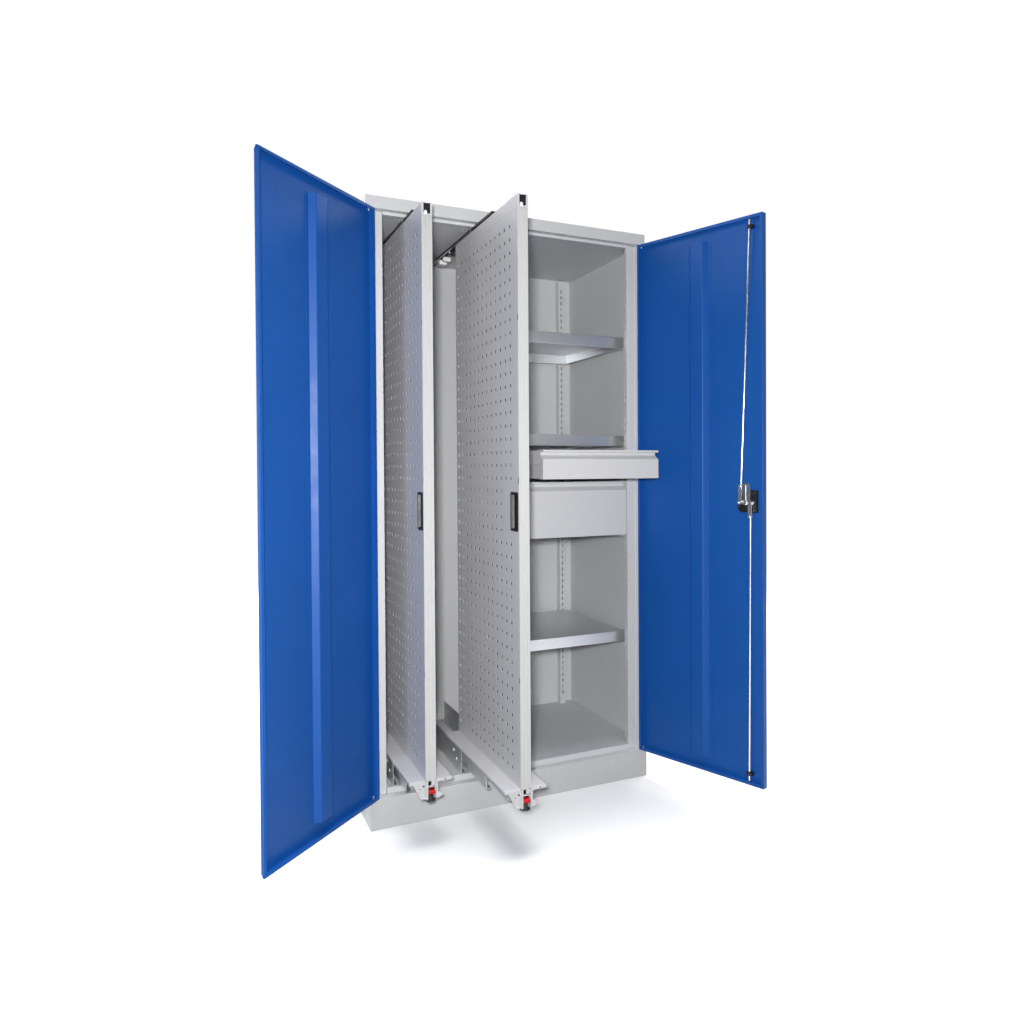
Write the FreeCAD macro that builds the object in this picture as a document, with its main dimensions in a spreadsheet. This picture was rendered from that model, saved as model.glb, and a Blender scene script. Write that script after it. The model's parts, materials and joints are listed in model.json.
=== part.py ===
"""Two-door storage cabinet with two vertical pull-outs, drawers and shelves.

Millimetres. X runs to the right, Y to the back and Z up. The origin is the
centre of the base on the ground. The doors stand open, the pull-outs and the
upper drawer stand part way out, as they do when the cabinet is in use.
"""
import FreeCAD, Part
import os
import re

import Sketcher

SIZES = [
    # Carcass
    ("overall_width", 1000),
    ("overall_height", 1950),
    ("overall_depth", 600),
    ("skin", 1.2),
    ("seam_gap", 0.3),
    ("plinth_height", 95),
    ("plinth_flange", 28),
    ("roof_band", 38),
    ("roof_return", 12),
    ("frame_setback", 26.5),
    ("stile_width", 58),
    ("stile_step_width", 27),
    ("stile_step", 3),
    ("stile_return", 18),
    ("rear_return", 20),
    ("strip_drop", 8.5),
    ("strip_return", 15),
    ("floor_rise", 19),
    ("back_inset", 10),
    ("partition_left", 13),
    ("partition_right", 6),
    ("partition_foot", 18),
    # Slotted posts and shelves
    ("post_width", 24),
    ("post_front", 78),
    ("post_depth", 30.5),
    ("slim_post_depth", 19.7),
    ("rear_post_depth", 28),
    ("rear_post_inset", 56),
    ("slot_pitch", 25),
    ("slot_step", 4),
    ("slot_height", 14),
    ("slot_width", 5),
    ("slot_first", 40),
    ("shelf_sheet", 1),
    ("shelf_height", 40),
    ("shelf_hem", 15),
    ("shelf_end_gap", 3),
    ("top_shelf_level", 1593),
    ("middle_shelf_level", 1233),
    ("lower_shelf_level", 513),
    ("clip_sheet", 2),
    ("clip_height", 22),
    ("clip_reach", 18),
    ("clip_width", 16),
    # Doors, hinges and lock
    ("door_thickness", 22),
    ("door_gap", 1.5),
    ("door_side_gap", 4),
    ("door_lip", 10),
    ("door_notch", 6.4),
    ("step_width", 12),
    ("step_rim", 8),
    ("hinge_edge", 7),
    ("hinge_inset", 4.5),
    ("hinge_radius", 3),
    ("running_gap", 0.05),
    ("hinge_reach", 10),
    ("hinge_collar_radius", 4.2),
    ("hinge_head", 3),
    ("left_door_angle", 137.4),
    ("right_door_angle", 109.7),
    ("stiffener_top", 48),
    ("stiffener_slope", 12),
    ("stiffener_foot", 12),
    ("stiffener_height", 18.3),
    ("stiffener_margin", 44),
    ("lock_edge", 65.5),
    ("lock_level", 1000),
    ("case_near", 32),
    ("case_far", 38),
    ("case_below", 33),
    ("case_above", 40),
    ("case_depth", 12.3),
    ("case_chamfer", 12),
    ("cam_sheet", 3),
    ("cam_gap", 0.3),
    ("cam_arm", 30),
    ("cam_arm_width", 14),
    ("tongue_length", 62),
    ("tongue_near", 7),
    ("tongue_far", 14),
    ("rod_radius", 3.5),
    ("rod_depth", 13.3),
    ("rod_hole_radius", 6),
    ("link_offset", 17),
    ("upper_rod_head", 17),
    ("lower_rod_foot", 11),
    ("rod_end_gap", 1),
    ("upper_rod_start", 45),
    ("lower_rod_start", 37),
    ("clamp_width", 14),
    ("clamp_block", 13),
    ("guide_width", 20),
    ("guide_height", 10),
    ("guide_inset", 34),
    ("guide_edge", 3),
    ("spindle_radius", 5),
    ("knob_base_radius", 26),
    ("knob_base", 8),
    ("knob_grip_length", 64),
    ("knob_grip_width", 20),
    ("knob_grip_height", 24),
    ("barrel_radius", 7),
    # Vertical pull-outs
    ("pullout_inset", 136),
    ("pullout_pitch", 226),
    ("pullout_1_travel", 220),
    ("pullout_2_travel", 394),
    ("pullout_face", 30),
    ("pullout_rear", 30),
    ("pullout_width", 32),
    ("upright_depth", 5),
    ("upright_leg", 6.4),
    ("upright_wall", 1.4),
    ("groove_offset", 5.5),
    ("groove_width", 3),
    ("groove_depth", 2),
    ("panel_sheet", 1.2),
    ("channel_gap", 29),
    ("channel_height", 38),
    ("channel_sheet", 1.5),
    ("channel_lip", 9),
    ("hole_size", 10),
    ("hole_raster", 38),
    ("hole_step", 3),
    ("hole_rear_margin", 24),
    ("hole_top_margin", 39),
    ("hole_front_margin", 60),
    ("tray_level", 206),
    ("tray_width", 130),
    ("tray_sheet", 1.5),
    ("tray_lip", 9),
    ("carriage_half", 29),
    ("carriage_sheet", 2),
    ("carriage_bottom", 152),
    ("carriage_lip", 10),
    ("foot_length", 60),
    ("glide_length", 40),
    ("glide_gap", 0.3),
    ("glide_first", 250),
    ("glide_rear_gap", 20),
    ("glide_rise", 24),
    ("glide_lip_gap", 5),
    ("middle_rail_half", 43),
    ("middle_rail_bottom", 134),
    ("middle_rail_height", 46),
    ("middle_rail_foot", 13),
    ("rail_lip", 6),
    ("rail_sheet", 1.5),
    ("tie_width", 30),
    ("tie_inset", 70),
    ("outer_rail_half", 57.5),
    ("outer_rail_height", 77),
    ("outer_rail_foot", 13),
    ("rail_setback", 2),
    ("grip_height", 112),
    ("grip_width", 56),
    ("grip_level", 933),
    ("grip_front", 6.5),
    ("grip_bezel", 1.2),
    ("grip_flange", 3),
    ("grip_depth", 12),
    ("grip_wall", 1.5),
    ("pin_radius", 4),
    ("pedal_pin_back", 16),
    ("pedal_pin_level", 186),
    ("pedal_width", 23),
    ("pedal_reach", 12),
    ("pedal_low", 162),
    ("pedal_height", 16),
    ("roller_radius", 13),
    ("roller_back", 40),
    ("roller_level", 158),
    ("roller_width", 24),
    # Telescopic slide over each pull-out
    ("slide_gap", 0.5),
    ("slide_web", 8),
    ("rail_gap", 23.5),
    ("slide_head", 12),
    ("slide_foot", 16),
    ("roof_rail_sheet", 1.5),
    ("roof_rail_lip", 7.5),
    ("roof_rail_half", 14),
    ("spacer_length", 40),
    # Drawers
    ("drawer_left", 10),
    ("drawer_side_gap", 4),
    ("drawer_1_bottom", 1078),
    ("drawer_1_height", 93),
    ("drawer_1_travel", 206),
    ("drawer_2_bottom", 873),
    ("drawer_2_height", 193),
    ("drawer_face", 30),
    ("drawer_lip_depth", 24),
    ("drawer_lip_height", 7),
    ("drawer_neck", 20),
    ("drawer_neck_drop", 13),
    ("drawer_slope_drop", 31),
    ("drawer_hem", 32),
    ("drawer_sheet", 1.2),
    ("drawer_rear_gap", 57.7),
    ("drawer_end_gap", 12.7),
    ("runner_space", 11.8),
    ("runner_height", 44),
    ("runner_rear_gap", 4),
    ("runner_flange", 9.5),
    ("runner_lift", 8),
    ("runner_gap", 0.5),
    ("cheek_front", 64),
    ("cheek_low", 862),
    ("cheek_high", 1180),
]

FUNCTIONS = ("floor", "max", "min")

doc = FreeCAD.newDocument("PullOutCabinet")
sheet = doc.addObject("Spreadsheet::Sheet", "Sizes")
for row, (alias, number) in enumerate(SIZES, start=1):
    sheet.set("A%d" % row, alias)
    sheet.set("B%d" % row, str(number))
    sheet.setAlias("B%d" % row, alias)
doc.recompute()

# Levels and planes that several pieces share, as formulas of the sheet's cells
FRONT = "(-overall_depth / 2)"
REAR = "(overall_depth / 2)"
SIDE = "(overall_width / 2)"
ROOF = "(overall_height - roof_band)"
CEILING = "(overall_height - roof_band + skin)"
FRAME = "(-overall_depth / 2 + frame_setback)"
STRIP = "(overall_height - roof_band - strip_drop)"
STILE = "(overall_width / 2 - stile_width)"
FLOOR = "(plinth_height + floor_rise)"
BACK = "(overall_depth / 2 - back_inset)"
FACE = "(-overall_depth / 2 + pullout_face)"
TAIL = "(overall_depth / 2 - pullout_rear)"
PULLOUTS = {1: "(pullout_inset - overall_width / 2)", 2: "(pullout_inset + pullout_pitch - overall_width / 2)"}
DOOR_LOW = "(plinth_height + door_gap)"
DOOR_HIGH = "(overall_height - roof_band - door_gap)"
AXIS_X = "(overall_width / 2 - door_side_gap - hinge_edge)"
AXIS_Y = "(-overall_depth / 2 + hinge_inset)"
SKIN_IN = "(skin - hinge_inset)"
DOOR_IN = "(door_thickness - hinge_inset)"
FREE_EDGE = "(overall_width / 2 - door_side_gap - hinge_edge - door_gap)"
DOOR_MIDDLE = "((overall_width / 2 - door_side_gap - door_gap) / 2 - hinge_edge)"
PIVOT = "(overall_width / 2 - door_side_gap - hinge_edge - door_gap - lock_edge)"
CASE_TOP = "(skin - hinge_inset + case_depth)"
CAM_LOW = "(skin - hinge_inset + case_depth + cam_gap)"
CAM_HIGH = "(skin - hinge_inset + case_depth + cam_gap + cam_sheet)"
LINK_LOW = "(skin - hinge_inset + case_depth + 2 * cam_gap + cam_sheet)"
LINK_HIGH = "(skin - hinge_inset + case_depth + 2 * cam_gap + 2 * cam_sheet)"
ROD_DEPTH = "(rod_depth - hinge_inset)"
PANEL_TOP = "(overall_height - roof_band - channel_gap - channel_height)"
CHANNEL_TOP = "(overall_height - roof_band - channel_gap)"
RAIL_LOW = "(overall_height - roof_band - rail_gap)"
POST_FRONT = "(-overall_depth / 2 + post_front)"
POST_FACE = "(overall_width / 2 - skin - seam_gap - post_depth)"
SLIM_FACE = "(seam_gap + slim_post_depth)"
REAR_POST_FACE = "(overall_depth / 2 - back_inset - seam_gap - rear_post_depth)"
GRIP_Y = "(-overall_depth / 2 + pullout_face + grip_front)"
BOX_LEFT = "(seam_gap + slim_post_depth + drawer_sheet + runner_space)"
DRAWER_RIGHT = "(overall_width / 2 - stile_width - drawer_side_gap)"
BOX_RIGHT = "(overall_width / 2 - stile_width - drawer_side_gap - drawer_end_gap)"
BOX_REAR = "(overall_depth / 2 - back_inset - seam_gap - rear_post_depth - drawer_rear_gap)"
CHEEK_LEFT = "(seam_gap + slim_post_depth + drawer_sheet)"
CHEEK_RIGHT = "(overall_width / 2 - stile_width - drawer_side_gap - drawer_end_gap + runner_space)"
RUNNER_FRONT = "(-overall_depth / 2 + cheek_front)"
RUNNER_REAR = BOX_REAR[:-1] + " - runner_rear_gap)"
DRAWER_FACE = "(-overall_depth / 2 + drawer_face)"
BOX_FRONT = "(-overall_depth / 2 + drawer_face + drawer_lip_depth)"
PEDAL_Y = "(-overall_depth / 2 + pullout_face + pedal_pin_back)"
ROLLER_Y = "(-overall_depth / 2 + pullout_face + roller_back)"
GLIDES = ("(%s + glide_first)" % FACE, "(%s - glide_rear_gap - glide_length)" % TAIL)

PLANES = {"XY": "XY_Plane", "XZ": "XZ_Plane", "YZ": "YZ_Plane"}


def linked(formula):
    """Return a formula of cell names as one that other objects can hold."""
    def cell(match):
        word = match.group(0)
        return word if word in FUNCTIONS else "Sizes." + word
    return re.sub(r"[A-Za-z_]\w*", cell, str(formula))


def value(formula):
    """Return the present value of a formula of cell names."""
    return float(sheet.evalExpression(str(formula)))


def new_body(label):
    """Return an empty body that may hold a group of separate solids."""
    body = doc.addObject("PartDesign::Body", label)
    body.Label = label
    body.AllowCompound = True
    return body


def rectangle(left, low, right, high):
    """Return the corners of a rectangle given by four formulas."""
    return [(left, low), (right, low), (right, high), (left, high)]


def circle(across, up, radius):
    """Return a circle given by its centre and radius."""
    return ("circle", across, up, radius)


def mirrored(corners):
    """Return the corners reflected in the first axis of their plane."""
    return [("-(%s)" % across, up) for across, up in corners]


def shifted(corners, offset):
    """Return the corners moved along the first axis of their plane."""
    return [("(%s) + (%s)" % (across, offset), up) for across, up in corners]


def add_outline(sketch, corners):
    """Draw a closed polygon whose corners are tied to the sheet."""
    first = sketch.GeometryCount
    points = [FreeCAD.Vector(value(across), value(up), 0) for across, up in corners]
    count = len(points)
    lines = [Part.LineSegment(points[i], points[(i + 1) % count]) for i in range(count)]
    sketch.addGeometry(lines, False)
    for i in range(count):
        sketch.addConstraint(Sketcher.Constraint("Coincident", first + i, 2, first + (i + 1) % count, 1))
    for i, (across, up) in enumerate(corners):
        bind(sketch, "DistanceX", first + i, points[i].x, across)
        bind(sketch, "DistanceY", first + i, points[i].y, up)


def bind(sketch, kind, geometry, number, formula, point=1):
    """Measure a point of the sketch from its origin by a formula."""
    index = sketch.addConstraint(Sketcher.Constraint(kind, -1, 1, geometry, point, number))
    sketch.setExpression("Constraints[%d]" % index, linked(formula))


def add_circle(sketch, across, up, radius):
    """Draw a circle whose centre and radius are tied to the sheet."""
    index = sketch.GeometryCount
    centre = FreeCAD.Vector(value(across), value(up), 0)
    sketch.addGeometry(Part.Circle(centre, FreeCAD.Vector(0, 0, 1), value(radius)), False)
    bind(sketch, "DistanceX", index, centre.x, across, 3)
    bind(sketch, "DistanceY", index, centre.y, up, 3)
    size = sketch.addConstraint(Sketcher.Constraint("Radius", index, value(radius)))
    sketch.setExpression("Constraints[%d]" % size, linked(radius))


def draw(body, plane, level, shapes):
    """Return a sketch on a plane of the body, at a level along the plane's axis."""
    sketch = body.newObject("Sketcher::SketchObject", body.Label + "_sketch")
    role = PLANES[plane]
    support = [item for item in body.Origin.OriginFeatures if item.Role == role][0]
    sketch.AttachmentSupport = [(support, "")]
    sketch.MapMode = "FlatFace"
    sign = "-" if plane == "XZ" else ""
    sketch.setExpression("AttachmentOffset.Base.z", linked("%s(%s)" % (sign, level)))
    for shape in shapes:
        if shape[0] == "circle":
            add_circle(sketch, *shape[1:])
        else:
            add_outline(sketch, shape)
    return sketch


def pad(body, plane, start, stop, *shapes):
    """Add material between two levels along the plane's axis."""
    feature = body.newObject("PartDesign::Pad", body.Label + "_pad")
    feature.Profile = draw(body, plane, start, shapes)
    feature.Reversed = plane == "XZ"
    feature.setExpression("Length", linked("(%s) - (%s)" % (stop, start)))
    return feature


def pocket(body, plane, start, stop, *shapes):
    """Cut material between two levels along the plane's axis."""
    feature = body.newObject("PartDesign::Pocket", body.Label + "_pocket")
    feature.Profile = draw(body, plane, start, shapes)
    feature.Reversed = plane != "XZ"
    feature.setExpression("Length", linked("(%s) - (%s)" % (stop, start)))
    return feature


def repeat(body, feature, axis, pitch, count, second_axis=None, second_pitch=None, second_count=None):
    """Repeat a feature in one row, or in rows and columns, of its sketch."""
    pattern = body.newObject("PartDesign::LinearPattern", body.Label + "_pattern")
    pattern.Originals = [feature]
    sketch = feature.Profile[0]
    pattern.Direction = (sketch, [axis])
    pattern.setExpression("Length", linked("(%s) * ((%s) - 1)" % (pitch, count)))
    pattern.setExpression("Occurrences", linked(count))
    if second_axis:
        pattern.Direction2 = (sketch, [second_axis])
        pattern.setExpression("Length2", linked("(%s) * ((%s) - 1)" % (second_pitch, second_count)))
        pattern.setExpression("Occurrences2", linked(second_count))
    body.Tip = pattern
    return pattern


def place(body, across="0", along="0", up="0", angle=None):
    """Put a body at its place, turned about a vertical line if it has an angle."""
    body.Placement = FreeCAD.Placement(FreeCAD.Vector(), FreeCAD.Rotation(FreeCAD.Vector(0, 0, 1), 1))
    body.setExpression("Placement.Base.x", linked(across))
    body.setExpression("Placement.Base.y", linked(along))
    body.setExpression("Placement.Base.z", linked(up))
    body.setExpression("Placement.Rotation.Angle", linked(angle if angle else "0"))


# Carcass

def side_panel(label, sign):
    """Side sheet folded into a stepped stile in front and a return behind."""
    body = new_body(label)
    step = "(overall_width / 2 - stile_step_width)"
    fold = "(%s + stile_step)" % FRAME
    corners = [
        ("%s - rear_return" % SIDE, REAR),
        (SIDE, REAR),
        (SIDE, FRAME),
        (step, FRAME),
        (step, fold),
        (STILE, fold),
        (STILE, "%s + stile_return" % FRAME),
        ("%s + skin" % STILE, "%s + stile_return" % FRAME),
        ("%s + skin" % STILE, "%s + skin" % fold),
        ("%s + skin" % step, "%s + skin" % fold),
        ("%s + skin" % step, "%s + skin" % FRAME),
        ("%s - skin" % SIDE, "%s + skin" % FRAME),
        ("%s - skin" % SIDE, "%s - skin" % REAR),
        ("%s - rear_return" % SIDE, "%s - skin" % REAR),
    ]
    pad(body, "XY", "plinth_height", ROOF, corners if sign > 0 else mirrored(corners))


def back_panel():
    """Back sheet with flanges that stand behind it at both sides."""
    body = new_body("back_panel")
    edge = "(%s - skin - seam_gap)" % SIDE
    rear = "(%s - skin - seam_gap)" % REAR
    corners = [
        ("-" + edge, BACK),
        (edge, BACK),
        (edge, rear),
        ("%s - skin" % edge, rear),
        ("%s - skin" % edge, "%s + skin" % BACK),
        ("-(%s - skin)" % edge, "%s + skin" % BACK),
        ("-(%s - skin)" % edge, rear),
        ("-" + edge, rear),
    ]
    pad(body, "XY", "plinth_height", ROOF, corners)


def roof_panel():
    """Roof pan with its deep band, folded returns and the strip under the band."""
    body = new_body("roof_panel")
    inner = "(%s - skin)" % SIDE
    front = "(%s + skin)" % FRONT
    rear = "(%s - skin)" % REAR
    strip = "(%s - seam_gap)" % STILE
    pad(body, "XY", ROOF, "overall_height", rectangle("-" + SIDE, FRONT, SIDE, REAR))
    pocket(body, "XY", ROOF, "overall_height - skin", rectangle("-" + inner, front, inner, rear))
    pad(body, "XY", ROOF, CEILING, rectangle("-" + inner, front, inner, "%s + skin" % FRAME))
    pad(body, "XY", ROOF, CEILING, rectangle("-" + inner, "%s - roof_return" % REAR, inner, rear))
    side = rectangle("%s - roof_return" % SIDE, "%s + skin" % FRAME, inner, "%s - roof_return" % REAR)
    pad(body, "XY", ROOF, CEILING, side, mirrored(side))
    profile = [
        (FRAME, CEILING),
        (FRAME, STRIP),
        ("%s + strip_return" % FRAME, STRIP),
        ("%s + strip_return" % FRAME, "%s + skin" % STRIP),
        ("%s + skin" % FRAME, "%s + skin" % STRIP),
        ("%s + skin" % FRAME, CEILING),
    ]
    pad(body, "YZ", "-" + strip, strip, profile)
    pin = circle(AXIS_X, AXIS_Y, "hinge_radius + running_gap")
    other = circle("-" + AXIS_X, AXIS_Y, "hinge_radius + running_gap")
    pocket(body, "XY", ROOF, CEILING, pin, other)
    rod_x = "(door_gap + lock_edge - upper_rod_head)"
    pocket(body, "XY", ROOF, CEILING, circle(rod_x, "%s + rod_depth" % FRONT, "rod_hole_radius"))


def ceiling_panel():
    """Flat sheet that closes the roof pan from below."""
    body = new_body("ceiling_panel")
    edge = "(%s - skin - seam_gap)" % SIDE
    front = "(%s + skin + seam_gap)" % FRAME
    rear = "(%s - skin - seam_gap)" % REAR
    pad(body, "XY", CEILING, "%s + skin" % CEILING, rectangle("-" + edge, front, edge, rear))


def floor_panel():
    """Floor sheet, folded down in front and at both sides onto the plinth."""
    body = new_body("floor_panel")
    edge = "(%s - skin - seam_gap)" % SIDE
    strip = "(%s - seam_gap)" % STILE
    notch = "(%s + stile_return + seam_gap)" % FRAME
    rear = "(%s - seam_gap)" % BACK
    corners = [
        ("-" + strip, FRAME),
        (strip, FRAME),
        (strip, notch),
        (edge, notch),
        (edge, rear),
        ("-" + edge, rear),
        ("-" + edge, notch),
        ("-" + strip, notch),
    ]
    pad(body, "XY", "%s - skin" % FLOOR, FLOOR, corners)
    low = "plinth_height"
    pad(body, "YZ", "-" + strip, strip, rectangle(FRAME, low, "%s + skin" % FRAME, FLOOR))
    pad(body, "YZ", "-" + strip, strip, rectangle(FRAME, low, "%s + strip_return" % FRAME, low + " + skin"))
    fold = rectangle("%s - skin" % edge, low, edge, FLOOR)
    pad(body, "XZ", notch, rear, fold, mirrored(fold))


def plinth():
    """Plinth ring of folded sheet with flanges along its top and bottom."""
    body = new_body("plinth")
    inner = "(%s - skin)" % SIDE
    clear = "(%s - plinth_flange)" % SIDE
    front = "(%s + skin)" % FRONT
    rear = "(%s - skin)" % REAR
    pad(body, "XY", "0", "plinth_height", rectangle("-" + SIDE, FRONT, SIDE, REAR))
    pocket(body, "XY", "skin", "plinth_height - skin", rectangle("-" + inner, front, inner, rear))
    clear_front = "(%s + plinth_flange)" % FRONT
    clear_rear = "(%s - plinth_flange)" % REAR
    window = rectangle("-" + clear, clear_front, clear, clear_rear)
    pocket(body, "XY", "0", "plinth_height", window)
    pin = circle(AXIS_X, AXIS_Y, "hinge_radius + running_gap")
    other = circle("-" + AXIS_X, AXIS_Y, "hinge_radius + running_gap")
    pocket(body, "XY", "plinth_height - skin", "plinth_height", pin, other)
    rod_x = "(door_gap + lock_edge - lower_rod_foot)"
    strike = circle(rod_x, "%s + rod_depth" % FRONT, "rod_hole_radius")
    pocket(body, "XY", "plinth_height - skin", "plinth_height", strike)


def centre_partition():
    """Upright sheet between the two bays, with a stile in front."""
    body = new_body("centre_partition")
    back = "(%s - seam_gap)" % BACK
    fold = "(%s + stile_return)" % FRAME
    corners = [
        ("-partition_left", FRAME),
        ("partition_right", FRAME),
        ("partition_right", fold),
        ("partition_right - skin", fold),
        ("partition_right - skin", "%s + skin" % FRAME),
        ("0", "%s + skin" % FRAME),
        ("0", "%s - skin" % back),
        ("partition_foot", "%s - skin" % back),
        ("partition_foot", back),
        ("-skin", back),
        ("-skin", "%s + skin" % FRAME),
        ("skin - partition_left", "%s + skin" % FRAME),
        ("skin - partition_left", fold),
        ("-partition_left", fold),
    ]
    pad(body, "XY", FLOOR, "%s - seam_gap" % STRIP, corners)


def slotted_posts():
    """Four channels with a ladder of slots that carry the shelves and drawers."""
    body = new_body("slotted_posts")
    high = "(%s - seam_gap)" % STRIP
    low = "(%s)" % POST_FRONT
    far = "(%s + post_width)" % POST_FRONT
    edge = "(%s - skin - seam_gap)" % SIDE
    right = [
        (edge, low),
        (edge, "%s + skin" % low),
        ("%s + skin" % POST_FACE, "%s + skin" % low),
        ("%s + skin" % POST_FACE, "%s - skin" % far),
        (edge, "%s - skin" % far),
        (edge, far),
        (POST_FACE, far),
        (POST_FACE, low),
    ]
    left = [
        ("seam_gap", low),
        (SLIM_FACE, low),
        (SLIM_FACE, far),
        ("seam_gap", far),
        ("seam_gap", "%s - skin" % far),
        ("%s - skin" % SLIM_FACE, "%s - skin" % far),
        ("%s - skin" % SLIM_FACE, "%s + skin" % low),
        ("seam_gap", "%s + skin" % low),
    ]
    centre = "(%s - rear_post_inset)" % SIDE
    half = "post_width / 2"
    base = "(%s - seam_gap)" % BACK
    rear_right = [
        ("%s - %s" % (centre, half), base),
        ("%s - %s" % (centre, half), REAR_POST_FACE),
        ("%s + %s" % (centre, half), REAR_POST_FACE),
        ("%s + %s" % (centre, half), base),
        ("%s + %s - skin" % (centre, half), base),
        ("%s + %s - skin" % (centre, half), "%s + skin" % REAR_POST_FACE),
        ("%s - %s + skin" % (centre, half), "%s + skin" % REAR_POST_FACE),
        ("%s - %s + skin" % (centre, half), base),
    ]
    rear_shift = "2 * rear_post_inset - %s" % SIDE
    pad(body, "XY", FLOOR, high, right, left, rear_right, shifted(rear_right, rear_shift))
    first = "(%s + slot_first)" % FLOOR
    top = "(%s + slot_height)" % first
    middle = "(%s + post_width / 2)" % POST_FRONT
    slot = rectangle("%s - slot_width / 2" % middle, first, "%s + slot_width / 2" % middle, top)
    pitch = "(slot_pitch * slot_step)"
    count = "(floor((%s - %s) / %s) + 1)" % (high, top, pitch)
    side_slot = pocket(body, "YZ", POST_FACE, "%s + skin" % POST_FACE, slot)
    repeat(body, side_slot, "V_Axis", pitch, count)
    slim_slot = pocket(body, "YZ", "%s - skin" % SLIM_FACE, SLIM_FACE, slot)
    repeat(body, slim_slot, "V_Axis", pitch, count)
    rear_slot = rectangle("%s - slot_width / 2" % centre, first, "%s + slot_width / 2" % centre, top)
    pair = [rear_slot, shifted(rear_slot, rear_shift)]
    rear_cut = pocket(body, "XZ", REAR_POST_FACE, "%s + skin" % REAR_POST_FACE, *pair)
    repeat(body, rear_cut, "V_Axis", pitch, count)


def shelf(label, level):
    """Shelf tray turned down, with a hem round its underside."""
    body = new_body(label)
    left = "(%s + shelf_end_gap)" % SLIM_FACE
    right = "(%s - shelf_end_gap)" % POST_FACE
    front = "(%s + post_width / 2)" % POST_FRONT
    rear = "(%s - shelf_end_gap)" % REAR_POST_FACE
    low = "(%s - shelf_height)" % level
    pad(body, "XY", low, level, rectangle(left, front, right, rear))
    inside = rectangle("%s + shelf_sheet" % left, "%s + shelf_sheet" % front,
                       "%s - shelf_sheet" % right, "%s - shelf_sheet" % rear)
    pocket(body, "XY", "%s + shelf_sheet" % low, "%s - shelf_sheet" % level, inside)
    window = rectangle("%s + shelf_hem" % left, "%s + shelf_hem" % front,
                       "%s - shelf_hem" % right, "%s - shelf_hem" % rear)
    pocket(body, "XY", low, "%s + shelf_sheet" % low, window)


def shelf_clips():
    """Angle clips in the posts' slots, four under each shelf."""
    body = new_body("shelf_clips")
    front = "(%s + post_width / 2 + slot_width)" % POST_FRONT
    side_back = "(%s + clip_width)" % front
    centre = "(%s - rear_post_inset)" % SIDE
    for level in ("top_shelf_level", "middle_shelf_level", "lower_shelf_level"):
        base = "(%s - shelf_height)" % level
        high = "(%s + clip_height)" % base
        under = "(%s - clip_sheet)" % base
        plate = "(%s - clip_sheet)" % POST_FACE
        right = [
            (POST_FACE, under),
            (POST_FACE, high),
            (plate, high),
            (plate, base),
            ("%s - clip_reach" % plate, base),
            ("%s - clip_reach" % plate, under),
        ]
        plate = "(%s + clip_sheet)" % SLIM_FACE
        left = [
            (SLIM_FACE, under),
            ("%s + clip_reach" % plate, under),
            ("%s + clip_reach" % plate, base),
            (plate, base),
            (plate, high),
            (SLIM_FACE, high),
        ]
        pad(body, "XZ", front, side_back, right, left)
        plate = "(%s - clip_sheet)" % REAR_POST_FACE
        rear = [
            (REAR_POST_FACE, under),
            (REAR_POST_FACE, high),
            (plate, high),
            (plate, base),
            ("%s - clip_reach" % plate, base),
            ("%s - clip_reach" % plate, under),
        ]
        for middle in (centre, "rear_post_inset"):
            start = "(%s - clip_width / 2)" % middle
            pad(body, "YZ", start, "%s + clip_width" % start, rear)


def hinge_pins():
    """Four pivot pins: two hang from the roof, two stand in the plinth."""
    body = new_body("hinge_pins")
    low = "(plinth_height - skin)"
    for sign in ("", "-"):
        pin = circle(sign + AXIS_X, AXIS_Y, "hinge_radius")
        collar = circle(sign + AXIS_X, AXIS_Y, "hinge_collar_radius")
        pad(body, "XY", "%s - hinge_reach" % ROOF, "%s + hinge_head" % CEILING, pin)
        pad(body, "XY", "%s - hinge_head" % low, "plinth_height + hinge_reach", pin)
        pad(body, "XY", "plinth_height", "plinth_height + door_gap - running_gap", collar)


# Doors: a body's own X runs along the door from the hinge line, Y points inwards

def door_outline(side, corners):
    """Return corners given along the door as corners of the body's plane."""
    return corners if side == "left" else mirrored(corners)


def place_door_piece(body, side):
    """Hang a piece on its door's hinge line and swing it open."""
    sign = "-" if side == "left" else ""
    angle = "-left_door_angle" if side == "left" else "right_door_angle"
    place(body, sign + AXIS_X, AXIS_Y, "0", angle)


def stepped_outline(start, near, far, rim):
    """Outline along the door whose free edge is only a rim thick."""
    inner = "(%s - step_width)" % far[0]
    return [
        (near, start),
        (inner, start),
        (inner, rim),
        (far[0], rim),
        far,
        (near, far[1]),
    ]


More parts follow.
